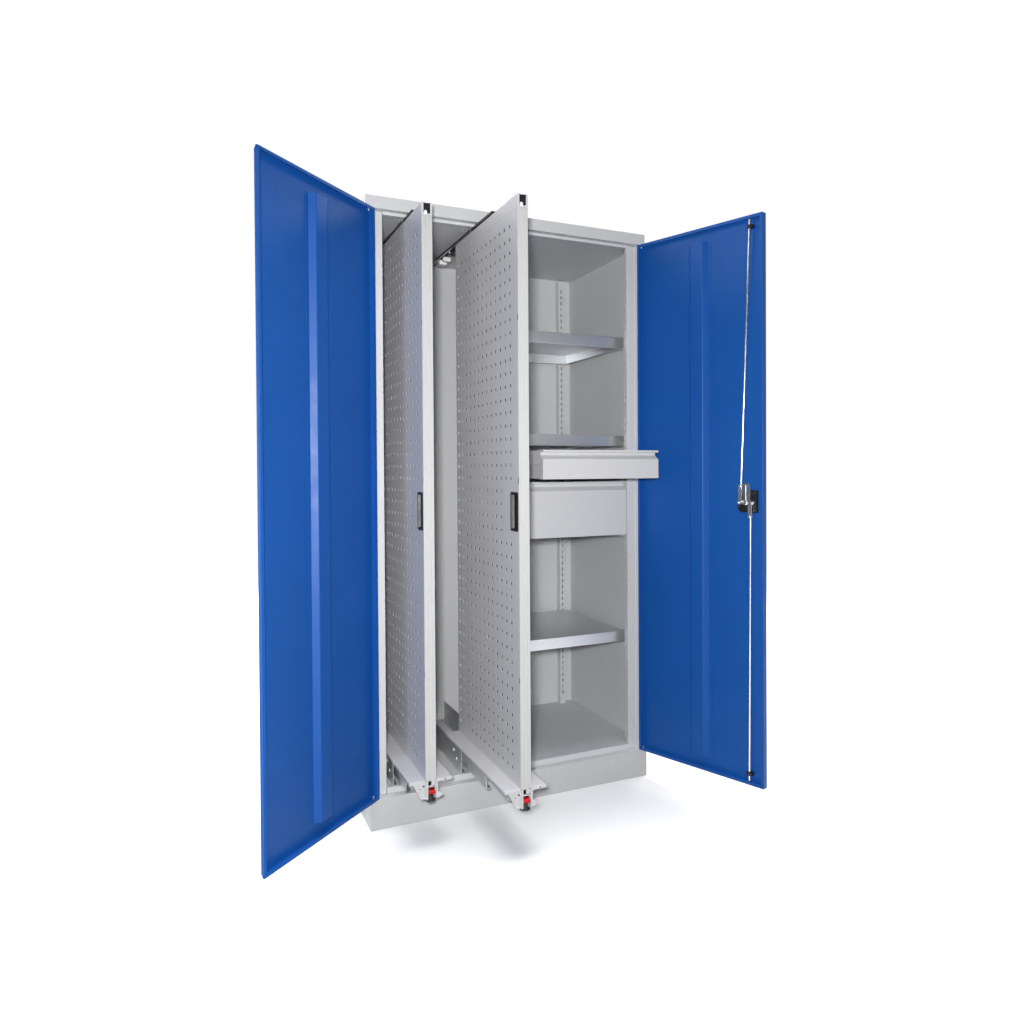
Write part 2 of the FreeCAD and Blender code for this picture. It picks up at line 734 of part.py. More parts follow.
def door_panel(side):
    """Door pan with returns and lips all round; the left one's free edge is stepped and notched."""
    body = new_body(side + "_door_panel")
    near = "(-hinge_edge)"
    face = "(-hinge_inset)"
    inside = ("(%s - skin)" % FREE_EDGE, "(%s - skin)" % DOOR_IN)
    rim = "(%s - step_rim)" % DOOR_IN
    if side == "left":
        shape = stepped_outline(face, near, (FREE_EDGE, DOOR_IN), rim)
        cavity = stepped_outline(SKIN_IN, "%s + skin" % near, inside, "%s + skin" % rim)
    else:
        shape = rectangle(near, face, FREE_EDGE, DOOR_IN)
        cavity = rectangle("%s + skin" % near, SKIN_IN, inside[0], inside[1])
    pad(body, "XY", DOOR_LOW, DOOR_HIGH, door_outline(side, shape))
    pocket(body, "XY", "%s + skin" % DOOR_LOW, "%s - skin" % DOOR_HIGH, door_outline(side, cavity))
    window = rectangle("%s + door_lip" % near, "%s + door_lip" % DOOR_LOW,
                       "%s - door_lip" % FREE_EDGE, "%s - door_lip" % DOOR_HIGH)
    pocket(body, "XZ", "%s - skin" % DOOR_IN, DOOR_IN, door_outline(side, window))
    if side == "left":
        for low, high in ((DOOR_LOW, "%s + door_notch" % DOOR_LOW), ("%s - door_notch" % DOOR_HIGH, DOOR_HIGH)):
            notch = rectangle(inside[0], rim, FREE_EDGE, inside[1])
            pocket(body, "XY", low, high, door_outline(side, notch))
    hole = circle("0", "0", "hinge_radius + running_gap")
    pocket(body, "XY", DOOR_LOW, "%s + skin" % DOOR_LOW, hole)
    pocket(body, "XY", "%s - skin" % DOOR_HIGH, DOOR_HIGH, hole)
    if side == "right":
        upper = circle("-(%s + upper_rod_head)" % PIVOT, ROD_DEPTH, "rod_hole_radius")
        pocket(body, "XY", "%s - skin" % DOOR_HIGH, DOOR_HIGH, upper)
        lower = circle("-(%s + lower_rod_foot)" % PIVOT, ROD_DEPTH, "rod_hole_radius")
        pocket(body, "XY", DOOR_LOW, "%s + skin" % DOOR_LOW, lower)
        spindle = circle("-" + PIVOT, "lock_level", "spindle_radius + running_gap")
        pocket(body, "XZ", face, SKIN_IN, spindle)
    place_door_piece(body, side)


def door_stiffener(side):
    """Hat-shaped stiffener down the middle of a door's inside."""
    body = new_body(side + "_door_stiffener")
    half = "(stiffener_top / 2)"
    centre = DOOR_MIDDLE
    high = "(%s + stiffener_height)" % SKIN_IN
    sheet_up = "(%s + skin)" % SKIN_IN
    wide = "(stiffener_top / 2 + stiffener_slope)"
    foot = "(stiffener_top / 2 + stiffener_slope + stiffener_foot)"
    bend = "skin / 2"
    corners = [
        ("%s - %s" % (centre, foot), SKIN_IN),
        ("%s - %s" % (centre, foot), sheet_up),
        ("%s - %s - %s" % (centre, wide, bend), sheet_up),
        ("%s - %s" % (centre, half), high),
        ("%s + %s" % (centre, half), high),
        ("%s + %s + %s" % (centre, wide, bend), sheet_up),
        ("%s + %s" % (centre, foot), sheet_up),
        ("%s + %s" % (centre, foot), SKIN_IN),
        ("%s + %s - %s" % (centre, wide, bend), SKIN_IN),
        ("%s + %s - %s" % (centre, half, bend), "%s - skin" % high),
        ("%s - %s + %s" % (centre, half, bend), "%s - skin" % high),
        ("%s - %s + %s" % (centre, wide, bend), SKIN_IN),
    ]
    low = "%s + stiffener_margin" % DOOR_LOW
    pad(body, "XY", low, "%s - stiffener_margin" % DOOR_HIGH, door_outline(side, corners))
    place_door_piece(body, side)


def lock_case():
    """Case of the espagnolette lock, with one corner cut off."""
    body = new_body("lock_case")
    near = "(%s - case_near)" % PIVOT
    far = "(%s + case_far)" % PIVOT
    low = "(lock_level - case_below)"
    high = "(lock_level + case_above)"
    corners = [
        ("%s + case_chamfer" % near, low),
        (far, low),
        (far, high),
        (near, high),
        (near, "%s + case_chamfer" % low),
    ]
    pad(body, "XZ", SKIN_IN, CASE_TOP, mirrored(corners))
    pocket(body, "XZ", SKIN_IN, CASE_TOP, circle("-" + PIVOT, "lock_level", "spindle_radius + running_gap"))
    place_door_piece(body, "right")


def lock_cam():
    """Cam on the spindle: an arm for the two rods and the tongue across them."""
    body = new_body("lock_cam")
    arm = rectangle("%s - cam_arm" % PIVOT, "lock_level - cam_arm_width / 2",
                    "%s + cam_arm" % PIVOT, "lock_level + cam_arm_width / 2")
    tongue = rectangle("%s - tongue_near" % PIVOT, "lock_level",
                       "%s + tongue_far" % PIVOT, "lock_level + tongue_length")
    pad(body, "XZ", CAM_LOW, CAM_HIGH, mirrored(arm))
    pad(body, "XZ", CAM_LOW, CAM_HIGH, mirrored(tongue))
    pocket(body, "XZ", CAM_LOW, CAM_HIGH, circle("-" + PIVOT, "lock_level", "spindle_radius"))
    place_door_piece(body, "right")


def door_handle():
    """Turning knob outside the door and the spindle that carries the cam."""
    body = new_body("door_handle")
    face = "(-hinge_inset - cam_gap)"
    base = "(%s - knob_base)" % face
    grip = "(%s - knob_grip_height)" % base
    pad(body, "XZ", base, face, circle("-" + PIVOT, "lock_level", "knob_base_radius"))
    bar = rectangle("-%s - knob_grip_length / 2" % PIVOT, "lock_level - knob_grip_width / 2",
                    "-%s + knob_grip_length / 2" % PIVOT, "lock_level + knob_grip_width / 2")
    pad(body, "XZ", grip, base, bar)
    pad(body, "XZ", face, CAM_HIGH, circle("-" + PIVOT, "lock_level", "spindle_radius"))
    bore = circle("-" + PIVOT, "lock_level", "barrel_radius + running_gap")
    pocket(body, "XZ", grip, base, bore)
    place_door_piece(body, "right")


def lock_barrel():
    """Key barrel in the middle of the knob, with its key slot."""
    body = new_body("lock_barrel")
    base = "(-hinge_inset - cam_gap - knob_base)"
    face = "(%s - knob_grip_height - skin)" % base
    pad(body, "XZ", face, base, circle("-" + PIVOT, "lock_level", "barrel_radius"))
    slot = rectangle("-%s - skin / 2" % PIVOT, "lock_level - barrel_radius / 2",
                     "-%s + skin / 2" % PIVOT, "lock_level + barrel_radius / 2")
    pocket(body, "XZ", face, "%s + hinge_head" % face, slot)
    place_door_piece(body, "right")


def locking_rod(label, sign, start, stop, head_offset):
    """Round rod that leans a little, with a flat link over the lock's cam."""
    body = new_body(label)
    foot = "(%s %s link_offset)" % (PIVOT, "-" if sign > 0 else "+")
    head = "(%s + %s)" % (PIVOT, head_offset)
    low, high = (start, stop) if sign > 0 else (stop, start)
    low_x, high_x = (foot, head) if sign > 0 else (head, foot)
    rod = pad(body, "XY", low, high, circle("-" + low_x, ROD_DEPTH, "rod_radius"))
    rod.UseCustomVector = True
    rod.AlongSketchNormal = True
    rod.Direction = FreeCAD.Vector(value(low_x) - value(high_x), 0, value(high) - value(low))
    rod.setExpression("Direction.x", linked("%s - %s" % (low_x, high_x)))
    rod.setExpression("Direction.z", linked("%s - %s" % (high, low)))
    left = "(-%s - clamp_width / 2)" % foot
    right = "(-%s + clamp_width / 2)" % foot
    if sign > 0:
        block_end = "(%s + clamp_block)" % start
        link = rectangle(left, "lock_level", right, block_end)
        block = rectangle(left, start, right, block_end)
    else:
        block_end = "(%s - clamp_block)" % start
        link = rectangle(left, block_end, right, "lock_level")
        block = rectangle(left, block_end, right, start)
    pad(body, "XZ", LINK_LOW, LINK_HIGH, link)
    pad(body, "XZ", ROD_DEPTH, LINK_LOW, block)
    place_door_piece(body, "right")


def rod_guides():
    """Two slotted brackets on the door's inside that steer the rods."""
    body = new_body("rod_guides")
    high = "(%s - guide_inset)" % DOOR_HIGH
    low = "(%s + guide_inset)" % DOOR_LOW
    for level, offset in ((high, "upper_rod_head"), (low, "lower_rod_foot")):
        centre = "(%s + %s)" % (PIVOT, offset)
        start = "(%s - guide_height / 2)" % level
        block = rectangle("-%s - guide_width / 2" % centre, SKIN_IN,
                          "-%s + guide_width / 2" % centre, "%s + rod_hole_radius + guide_edge" % ROD_DEPTH)
        pad(body, "XY", start, "%s + guide_height" % start, block)
        hole = circle("-" + centre, ROD_DEPTH, "rod_hole_radius")
        pocket(body, "XY", start, "%s + guide_height" % start, hole)
    place_door_piece(body, "right")


# Vertical pull-outs: X is measured from the middle of the pull-out, Y is the closed place

def put_pullout_piece(body, number, share="1"):
    """Move a piece to its pull-out, drawn out by its share of the travel."""
    place(body, PULLOUTS[number], "-(pullout_%d_travel) * %s" % (number, share))


def pullout_upright(number, which):
    """Extruded upright with two grooves in its face and ribs between the sheets."""
    body = new_body("pullout_%d_%s_profile" % (number, which))
    half = "(pullout_width / 2)"
    leg = "(pullout_width / 2 - panel_sheet)"
    inner = "(pullout_width / 2 - panel_sheet - upright_wall)"
    sign = "+" if which == "front" else "-"
    face = FACE if which == "front" else TAIL
    back = "(%s %s upright_depth)" % (face, sign)
    end = "(%s %s upright_leg)" % (face, sign)
    floor = "(%s %s (upright_depth - upright_wall))" % (face, sign)
    bottom = "(%s %s groove_depth)" % (face, sign)
    near = "(groove_offset - groove_width / 2)"
    far = "(groove_offset + groove_width / 2)"
    corners = [
        ("-" + half, face),
        ("-" + far, face),
        ("-" + far, bottom),
        ("-" + near, bottom),
        ("-" + near, face),
        (near, face),
        (near, bottom),
        (far, bottom),
        (far, face),
        (half, face),
        (half, back),
        (leg, back),
        (leg, end),
        (inner, end),
        (inner, floor),
        ("-" + inner, floor),
        ("-" + inner, end),
        ("-" + leg, end),
        ("-" + leg, back),
        ("-" + half, back),
    ]
    pad(body, "XY", "tray_level", PANEL_TOP, corners)
    put_pullout_piece(body, number)


def pullout_sheet(number, side):
    """Perforated side sheet with an opening for the grip."""
    body = new_body("pullout_%d_%s_sheet" % (number, side))
    outer, inner = "(pullout_width / 2)", "(pullout_width / 2 - panel_sheet)"
    low, high = (inner, outer) if side == "right" else ("-" + outer, "-" + inner)
    start = "(%s + upright_depth)" % FACE
    stop = "(%s - upright_depth)" % TAIL
    pad(body, "YZ", low, high, rectangle(start, "tray_level", stop, PANEL_TOP))
    grip = rectangle("%s + grip_flange" % GRIP_Y, "grip_level + grip_flange",
                     "%s + grip_width - grip_flange" % GRIP_Y, "grip_level + grip_height - grip_flange")
    pocket(body, "YZ", low, high, grip)
    first_y = "(%s + hole_front_margin - hole_size / 2)" % FACE
    pitch = "(hole_raster * hole_step)"
    rows = "(floor((%s - tray_level - 2 * hole_top_margin) / %s) + 1)" % (PANEL_TOP, pitch)
    depth = "(overall_depth - pullout_face - pullout_rear - hole_front_margin - hole_rear_margin)"
    columns = "(floor(%s / %s) + 1)" % (depth, pitch)
    first_z = "(%s - hole_top_margin - hole_size / 2 - %s * (%s - 1))" % (PANEL_TOP, pitch, rows)
    hole = rectangle(first_y, first_z, "%s + hole_size" % first_y, "%s + hole_size" % first_z)
    cut = pocket(body, "YZ", low, high, hole)
    repeat(body, cut, "H_Axis", pitch, columns, "V_Axis", pitch, rows)
    put_pullout_piece(body, number)


def pullout_channel(number):
    """Lipped channel on top of the pull-out, the outer part of its slide."""
    body = new_body("pullout_%d_top_channel" % number)
    half = "(pullout_width / 2)"
    wall = "(pullout_width / 2 - channel_sheet)"
    lip = "(pullout_width / 2 - channel_lip)"
    low = PANEL_TOP
    corners = [
        ("-" + half, low),
        (half, low),
        (half, CHANNEL_TOP),
        (lip, CHANNEL_TOP),
        (lip, "%s - channel_sheet" % CHANNEL_TOP),
        (wall, "%s - channel_sheet" % CHANNEL_TOP),
        (wall, "%s + channel_sheet" % low),
        ("-" + wall, "%s + channel_sheet" % low),
        ("-" + wall, "%s - channel_sheet" % CHANNEL_TOP),
        ("-" + lip, "%s - channel_sheet" % CHANNEL_TOP),
        ("-" + lip, CHANNEL_TOP),
        ("-" + half, CHANNEL_TOP),
    ]
    pad(body, "XZ", FACE, TAIL, corners)
    put_pullout_piece(body, number)


def top_slide(number):
    """Middle member of the slide: a head in each of the two channels."""
    body = new_body("pullout_%d_top_slide" % number)
    low_half = "(pullout_width / 2 - channel_sheet - slide_gap)"
    high_half = "(roof_rail_half - roof_rail_sheet - slide_gap)"
    web = "(slide_web / 2)"
    low_top = "(%s - channel_sheet - slide_gap)" % CHANNEL_TOP
    high_low = "(%s + roof_rail_sheet + slide_gap)" % RAIL_LOW
    high_top = "(%s + slide_head - roof_rail_sheet - slide_gap)" % RAIL_LOW
    low_low = "(%s - slide_foot)" % low_top
    corners = [
        ("-" + low_half, low_low),
        (low_half, low_low),
        (low_half, low_top),
        (web, low_top),
        (web, high_low),
        (high_half, high_low),
        (high_half, high_top),
        ("-" + high_half, high_top),
        ("-" + high_half, high_low),
        ("-" + web, high_low),
        ("-" + web, low_top),
        ("-" + low_half, low_top),
    ]
    pad(body, "XZ", FACE, TAIL, corners)
    put_pullout_piece(body, number, "0.5")


def roof_guide_rails():
    """Two channels under the roof, each hung on two spacers."""
    body = new_body("roof_guide_rails")
    low = RAIL_LOW
    high = "(%s + slide_head)" % RAIL_LOW
    for number in (1, 2):
        centre = PULLOUTS[number]
        wall = "(roof_rail_half - roof_rail_sheet)"
        lip = "(roof_rail_half - roof_rail_lip)"
        corners = [
            ("-roof_rail_half", low),
            ("-" + lip, low),
            ("-" + lip, "%s + roof_rail_sheet" % low),
            ("-" + wall, "%s + roof_rail_sheet" % low),
            ("-" + wall, "%s - roof_rail_sheet" % high),
            (wall, "%s - roof_rail_sheet" % high),
            (wall, "%s + roof_rail_sheet" % low),
            (lip, "%s + roof_rail_sheet" % low),
            (lip, low),
            ("roof_rail_half", low),
            ("roof_rail_half", high),
            ("-roof_rail_half", high),
        ]
        pad(body, "XZ", FACE, TAIL, shifted(corners, centre))
        block = shifted(rectangle("-roof_rail_half", high, "roof_rail_half", CEILING), centre)
        for start in ("(%s + spacer_length)" % FACE, "(%s - 2 * spacer_length)" % TAIL):
            pad(body, "XZ", start, "%s + spacer_length" % start, block)


def tray(number):
    """Flat tray under the sheets with edges folded down."""
    body = new_body("pullout_%d_tray" % number)
    half = "(tray_width / 2)"
    low = "(tray_level - tray_lip)"
    pad(body, "XY", low, "tray_level", rectangle("-" + half, FACE, half, TAIL))
    inside = rectangle("tray_sheet - " + half, "%s + tray_sheet" % FACE,
                       "%s - tray_sheet" % half, "%s - tray_sheet" % TAIL)
    pocket(body, "XY", low, "tray_level - tray_sheet", inside)
    put_pullout_piece(body, number)


def carriage(number):
    """Lipped channel under the tray, with a foot in front and glides at its sides."""
    body = new_body("pullout_%d_carriage" % number)
    half = "carriage_half"
    wall = "(carriage_half - carriage_sheet)"
    lip = "(carriage_half - carriage_sheet - carriage_lip)"
    low = "carriage_bottom"
    high = "(tray_level - tray_sheet)"
    corners = [
        ("-" + half, low),
        ("-" + lip, low),
        ("-" + lip, low + " + carriage_sheet"),
        ("-" + wall, low + " + carriage_sheet"),
        ("-" + wall, "%s - carriage_sheet" % high),
        (wall, "%s - carriage_sheet" % high),
        (wall, low + " + carriage_sheet"),
        (lip, low + " + carriage_sheet"),
        (lip, low),
        (half, low),
        (half, high),
        ("-" + half, high),
    ]
    inner = "(pullout_width / 2 - channel_sheet)"
    pad(body, "XZ", "%s + tray_sheet" % FACE, TAIL + " - tray_sheet", corners)
    pocket(body, "XZ", "%s + tray_sheet" % FACE, "%s + foot_length" % FACE,
           rectangle("-pullout_width / 2", low, "pullout_width / 2", low + " + carriage_sheet"))
    for left, right in (("-pullout_width / 2", "-" + inner), (inner, "pullout_width / 2")):
        plate = rectangle(left, low, right, high)
        pad(body, "XZ", "%s + tray_sheet" % FACE, "%s + foot_length" % FACE, plate)
    web = rectangle("pullout_width / 2", low, half, high)
    pad(body, "XZ", "%s + tray_sheet" % FACE, "%s + tray_sheet + carriage_sheet" % FACE, web, mirrored(web))
    pins = [circle(PEDAL_Y, "pedal_pin_level", "pin_radius"), circle(ROLLER_Y, "roller_level", "pin_radius")]
    pad(body, "YZ", "-" + inner, inner, *pins)
    trough = "(middle_rail_bottom + rail_sheet + glide_gap)"
    outer = "(middle_rail_half - rail_sheet - glide_gap)"
    near = "(middle_rail_half - middle_rail_foot + rail_sheet + glide_gap)"
    step = "(middle_rail_bottom + rail_lip + glide_lip_gap)"
    high = "(%s + glide_rise)" % trough
    glide = [
        (half, high),
        (outer, high),
        (outer, trough),
        (near, trough),
        (near, step),
        (half, step),
    ]
    for start in GLIDES:
        pad(body, "XZ", start, "%s + glide_length" % start, glide, mirrored(glide))
    put_pullout_piece(body, number)


def middle_rails(number):
    """Pair of hook-shaped rails tied together, with glides for the floor rails."""
    body = new_body("pullout_%d_middle_rails" % number)
    half = "middle_rail_half"
    wall = "(middle_rail_half - rail_sheet)"
    foot = "(middle_rail_half - middle_rail_foot)"
    low = "middle_rail_bottom"
    high = "(middle_rail_bottom + middle_rail_height)"
    hook = [
        (foot, low),
        (half, low),
        (half, high),
        (wall, high),
        (wall, low + " + rail_sheet"),
        (foot + " + rail_sheet", low + " + rail_sheet"),
        (foot + " + rail_sheet", low + " + rail_lip"),
        (foot, low + " + rail_lip"),
    ]
    pad(body, "XZ", FACE, TAIL, hook, mirrored(hook))
    bar = rectangle("-" + half, low + " - rail_sheet", half, low)
    for start in ("(%s + tie_inset)" % FACE, "(%s - tie_inset - tie_width)" % TAIL):
        pad(body, "XZ", start, "%s + tie_width" % start, bar)
    trough = "(%s + rail_sheet + glide_gap)" % FLOOR
    outer = "(outer_rail_half - rail_sheet - glide_gap)"
    near = "(outer_rail_half - outer_rail_foot + rail_sheet + glide_gap)"
    step = "(%s + rail_lip + glide_lip_gap)" % FLOOR
    glide = [
        (half, low + " + glide_rise"),
        (outer, low + " + glide_rise"),
        (outer, trough),
        (near, trough),
        (near, step),
        (half, step),
    ]
    for start in GLIDES:
        pad(body, "XZ", start, "%s + glide_length" % start, glide, mirrored(glide))
    put_pullout_piece(body, number, "0.5")


def floor_guide_rails():
    """Four hook-shaped rails fixed to the floor."""
    body = new_body("floor_guide_rails")
    half = "outer_rail_half"
    wall = "(outer_rail_half - rail_sheet)"
    foot = "(outer_rail_half - outer_rail_foot)"
    high = "(%s + outer_rail_height)" % FLOOR
    hook = [
        (foot, FLOOR),
        (half, FLOOR),
        (half, high),
        (wall, high),
        (wall, "%s + rail_sheet" % FLOOR),
        (foot + " + rail_sheet", "%s + rail_sheet" % FLOOR),
        (foot + " + rail_sheet", "%s + rail_lip" % FLOOR),
        (foot, "%s + rail_lip" % FLOOR),
    ]
    front = "(%s + rail_setback)" % FACE
    for number in (1, 2):
        centre = PULLOUTS[number]
        pad(body, "XZ", front, TAIL, shifted(hook, centre), shifted(mirrored(hook), centre))


def grips(number):
    """Two finger cups let into the sheets, one from each side."""
    body = new_body("pullout_%d_grips" % number)
    skin_out = "(pullout_width / 2)"
    rim = rectangle(GRIP_Y, "grip_level", "%s + grip_width" % GRIP_Y, "grip_level + grip_height")
    cup = rectangle("%s + grip_flange" % GRIP_Y, "grip_level + grip_flange",
                    "%s + grip_width - grip_flange" % GRIP_Y, "grip_level + grip_height - grip_flange")
    hollow = rectangle("%s + grip_flange + grip_wall" % GRIP_Y, "grip_level + grip_flange + grip_wall",
                       "%s + grip_width - grip_flange - grip_wall" % GRIP_Y,
                       "grip_level + grip_height - grip_flange - grip_wall")
    for right in (True, False):
        bezel = (skin_out, "%s + grip_bezel" % skin_out)
        deep = ("%s - grip_depth" % skin_out, skin_out)
        open_part = ("%s - grip_depth + grip_wall" % skin_out, "%s + grip_bezel" % skin_out)
        for action, (low, high), shape in ((pad, bezel, rim), (pad, deep, cup), (pocket, open_part, hollow)):
            start, stop = (low, high) if right else ("-(%s)" % high, "-(%s)" % low)
            action(body, "YZ", start, stop, shape)
    put_pullout_piece(body, number)


def pedal(number):
    """Release pedal that swings on the upper pin of the foot."""
    body = new_body("pullout_%d_latch" % number)
    high = "(pedal_low + pedal_height)"
    top = "(pedal_pin_level + pin_radius + panel_sheet * 2)"
    corners = [
        ("%s - pin_radius * 1.75" % PEDAL_Y, top),
        ("%s + pin_radius * 1.75" % PEDAL_Y, top),
        ("%s + pin_radius * 1.75" % PEDAL_Y, "%s - panel_sheet * 5" % high),
        (PEDAL_Y, "pedal_low"),
        ("%s - pedal_reach" % FACE, "pedal_low"),
        ("%s - pedal_reach" % FACE, high),
        ("%s - pin_radius * 1.75" % PEDAL_Y, high),
    ]
    pad(body, "YZ", "-pedal_width / 2", "pedal_width / 2", corners)
    bore = circle(PEDAL_Y, "pedal_pin_level", "pin_radius + running_gap")
    pocket(body, "YZ", "-pedal_width / 2", "pedal_width / 2", bore)
    put_pullout_piece(body, number)


def roller(number):
    """Roller on the lower pin of the foot."""
    body = new_body("pullout_%d_roller" % number)
    ring = circle(ROLLER_Y, "roller_level", "roller_radius")
    pad(body, "YZ", "-roller_width / 2", "roller_width / 2", ring)
    bore = circle(ROLLER_Y, "roller_level", "pin_radius + running_gap")
    pocket(body, "YZ", "-roller_width / 2", "roller_width / 2", bore)
    put_pullout_piece(body, number)


# Drawers: drawn at their closed place and moved out by their travel

def put_drawer_piece(body, number, share="1"):
    """Move a piece out by its share of its drawer's travel."""
    travel = "drawer_1_travel" if number == 1 else "0"
    place(body, "0", "-(%s) * %s" % (travel, share))


def drawer_front(number):
    """Folded front with a gripping lip along its top and closed ends."""
    body = new_body("drawer_%d_front" % number)
    low = "drawer_%d_bottom" % number
    top = "(drawer_%d_bottom + drawer_%d_height)" % (number, number)
    face, lip_back = DRAWER_FACE, BOX_FRONT
    neck = "(%s + drawer_neck)" % face
    lip_low = "(%s - drawer_lip_height)" % top
    neck_low = "(%s - drawer_neck_drop - drawer_sheet * 3)" % top
    slope_low = "(%s - drawer_slope_drop)" % top
    hem = "(%s + drawer_hem)" % face
    t = "drawer_sheet"
    corners = [
        (lip_back, top),
        (face, top),
        (face, lip_low),
        (neck, lip_low),
        (neck, neck_low),
        (face, slope_low),
        (face, low),
        (hem, low),
        (hem, "%s + %s" % (low, t)),
        ("%s + %s" % (face, t), "%s + %s" % (low, t)),
        ("%s + %s" % (face, t), "%s - %s / 2" % (slope_low, t)),
        ("%s + %s" % (neck, t), "%s - %s / 2" % (neck_low, t)),
        ("%s + %s" % (neck, t), "%s + %s" % (lip_low, t)),
        ("%s + %s" % (face, t), "%s + %s" % (lip_low, t)),
        ("%s + %s" % (face, t), "%s - %s" % (top, t)),
        (lip_back, "%s - %s" % (top, t)),
    ]
    pad(body, "YZ", "drawer_left", DRAWER_RIGHT, corners)
    cap = [
        (lip_back, top),
        (face, top),
        (face, lip_low),
        (neck, lip_low),
        (neck, neck_low),
        (face, slope_low),
        (face, low),
        (neck, low),
        (neck, "%s - drawer_neck" % slope_low),
        (lip_back, slope_low),
    ]
    for start in ("drawer_left", "(%s - drawer_sheet)" % DRAWER_RIGHT):
        pad(body, "YZ", start, "%s + drawer_sheet" % start, cap)
    put_drawer_piece(body, number)


def runner_low(number, step):
    """Return the lower edge of a runner member, counted from the outer one."""
    return "(drawer_%d_bottom + drawer_sheet + runner_lift + (drawer_sheet + runner_gap) * %d)" % (number, step)


def runner_high(number, step):
    """Return the upper edge of a runner member, counted from the outer one."""
    return "(%s + runner_height - 2 * (drawer_sheet + runner_gap) * %d)" % (runner_low(number, step), step)


def drawer_box(number):
    """Open box with the inner runner members folded out of its sides."""
    body = new_body("drawer_%d_box" % number)
    low = "(drawer_%d_bottom + drawer_sheet)" % number
    top = "(drawer_%d_bottom + drawer_%d_height)" % (number, number)
    rear = BOX_REAR
    t = "drawer_sheet"
    pad(body, "XY", low, top, rectangle(BOX_LEFT, BOX_FRONT, BOX_RIGHT, rear))
    inside = rectangle("%s + %s" % (BOX_LEFT, t), "%s + %s" % (BOX_FRONT, t),
                       "%s - %s" % (BOX_RIGHT, t), "%s - %s" % (rear, t))
    pocket(body, "XY", "%s + %s" % (low, t), top, inside)
    reach = "(runner_space - drawer_sheet - runner_gap - drawer_sheet - runner_gap)"
    under, over = runner_low(number, 2), runner_high(number, 2)
    shapes = []
    for bottom in (under, "(%s - %s)" % (over, t)):
        shapes.append(rectangle("%s - %s" % (BOX_LEFT, reach), bottom, BOX_LEFT, "%s + %s" % (bottom, t)))
        shapes.append(rectangle(BOX_RIGHT, bottom, "%s + %s" % (BOX_RIGHT, reach), "%s + %s" % (bottom, t)))
    pad(body, "XZ", RUNNER_FRONT, RUNNER_REAR, *shapes)
    put_drawer_piece(body, number)


def runner_pair(number, step):
    """Return the sections of a channel on both sides of a drawer."""
    low, high = runner_low(number, step), runner_high(number, step)
    t = "drawer_sheet"
    back = "(%s + (drawer_sheet + runner_gap) * %d)" % (CHEEK_LEFT, step)
    reach = "(%s + runner_flange)" % CHEEK_LEFT
    left = [
        (back, low),
        (reach, low),
        (reach, "%s + %s" % (low, t)),
        ("%s + %s" % (back, t), "%s + %s" % (low, t)),
        ("%s + %s" % (back, t), "%s - %s" % (high, t)),
        (reach, "%s - %s" % (high, t)),
        (reach, high),
        (back, high),
    ]
    right = [("%s + %s - (%s)" % (CHEEK_LEFT, CHEEK_RIGHT, across), up) for across, up in left]
    return left, right


def fixed_runners():
    """Outer runner members of both drawers, fixed to the cheeks."""
    body = new_body("drawer_runners_fixed")
    for number in (1, 2):
        left, right = runner_pair(number, 0)
        pad(body, "XZ", RUNNER_FRONT, RUNNER_REAR, left, right)


def middle_runners(number):
    """Middle runner members of one drawer, which travel half as far."""
    body = new_body("drawer_%d_middle_runners" % number)
    left, right = runner_pair(number, 1)
    pad(body, "XZ", RUNNER_FRONT, RUNNER_REAR, left, right)
    put_drawer_piece(body, number, "0.5")


def drawer_cheeks():
    """Sheets that hang in the posts and carry the runners of both drawers."""
    body = new_body("drawer_cheeks")
    t = "drawer_sheet"
    rear = REAR_POST_FACE
    left = [
        ("%s - %s" % (CHEEK_LEFT, t), RUNNER_FRONT),
        (CHEEK_LEFT, RUNNER_FRONT),
        (CHEEK_LEFT, "%s - %s" % (rear, t)),
        ("rear_post_inset", "%s - %s" % (rear, t)),
        ("rear_post_inset", rear),
        ("%s - %s" % (CHEEK_LEFT, t), rear),
    ]
    hook = "(%s + post_width / 2)" % POST_FRONT
    right = [
        (CHEEK_RIGHT, RUNNER_FRONT),
        ("%s + %s" % (CHEEK_RIGHT, t), RUNNER_FRONT),
        ("%s + %s" % (CHEEK_RIGHT, t), hook),
        (POST_FACE, hook),
        (POST_FACE, "%s + %s" % (hook, t)),
        ("%s + %s" % (CHEEK_RIGHT, t), "%s + %s" % (hook, t)),
        ("%s + %s" % (CHEEK_RIGHT, t), rear),
        (CHEEK_RIGHT, rear),
    ]
    pad(body, "XY", "cheek_low", "cheek_high", left, right)


def build():
    """Build every piece of the cabinet."""
    side_panel("side_panel_left", -1)
    side_panel("side_panel_right", 1)
    back_panel()
    roof_panel()
    ceiling_panel()
    floor_panel()
    plinth()
    centre_partition()
    slotted_posts()
    shelf("top_shelf", "top_shelf_level")
    shelf("middle_shelf", "middle_shelf_level")
    shelf("lower_shelf", "lower_shelf_level")
    shelf_clips()
    hinge_pins()
    roof_guide_rails()
    floor_guide_rails()
    drawer_cheeks()
    fixed_runners()
    for side in ("left", "right"):
        door_panel(side)
        door_stiffener(side)
    lock_case()
    lock_cam()
    door_handle()
    lock_barrel()
    rod_guides()
    locking_rod("upper_rod", 1, "(lock_level + upper_rod_start)", "(%s - rod_end_gap)" % DOOR_HIGH,
                "upper_rod_head")
    locking_rod("lower_rod", -1, "(lock_level - lower_rod_start)", "(%s + rod_end_gap)" % DOOR_LOW,
                "lower_rod_foot")
    for number in (1, 2):
        pullout_upright(number, "front")
        pullout_upright(number, "rear")
        pullout_sheet(number, "left")
        pullout_sheet(number, "right")
        pullout_channel(number)
        top_slide(number)
        tray(number)
        carriage(number)
        middle_rails(number)
        grips(number)
        pedal(number)
        roller(number)
    for number in (1, 2):
        drawer_front(number)
        drawer_box(number)
        middle_runners(number)


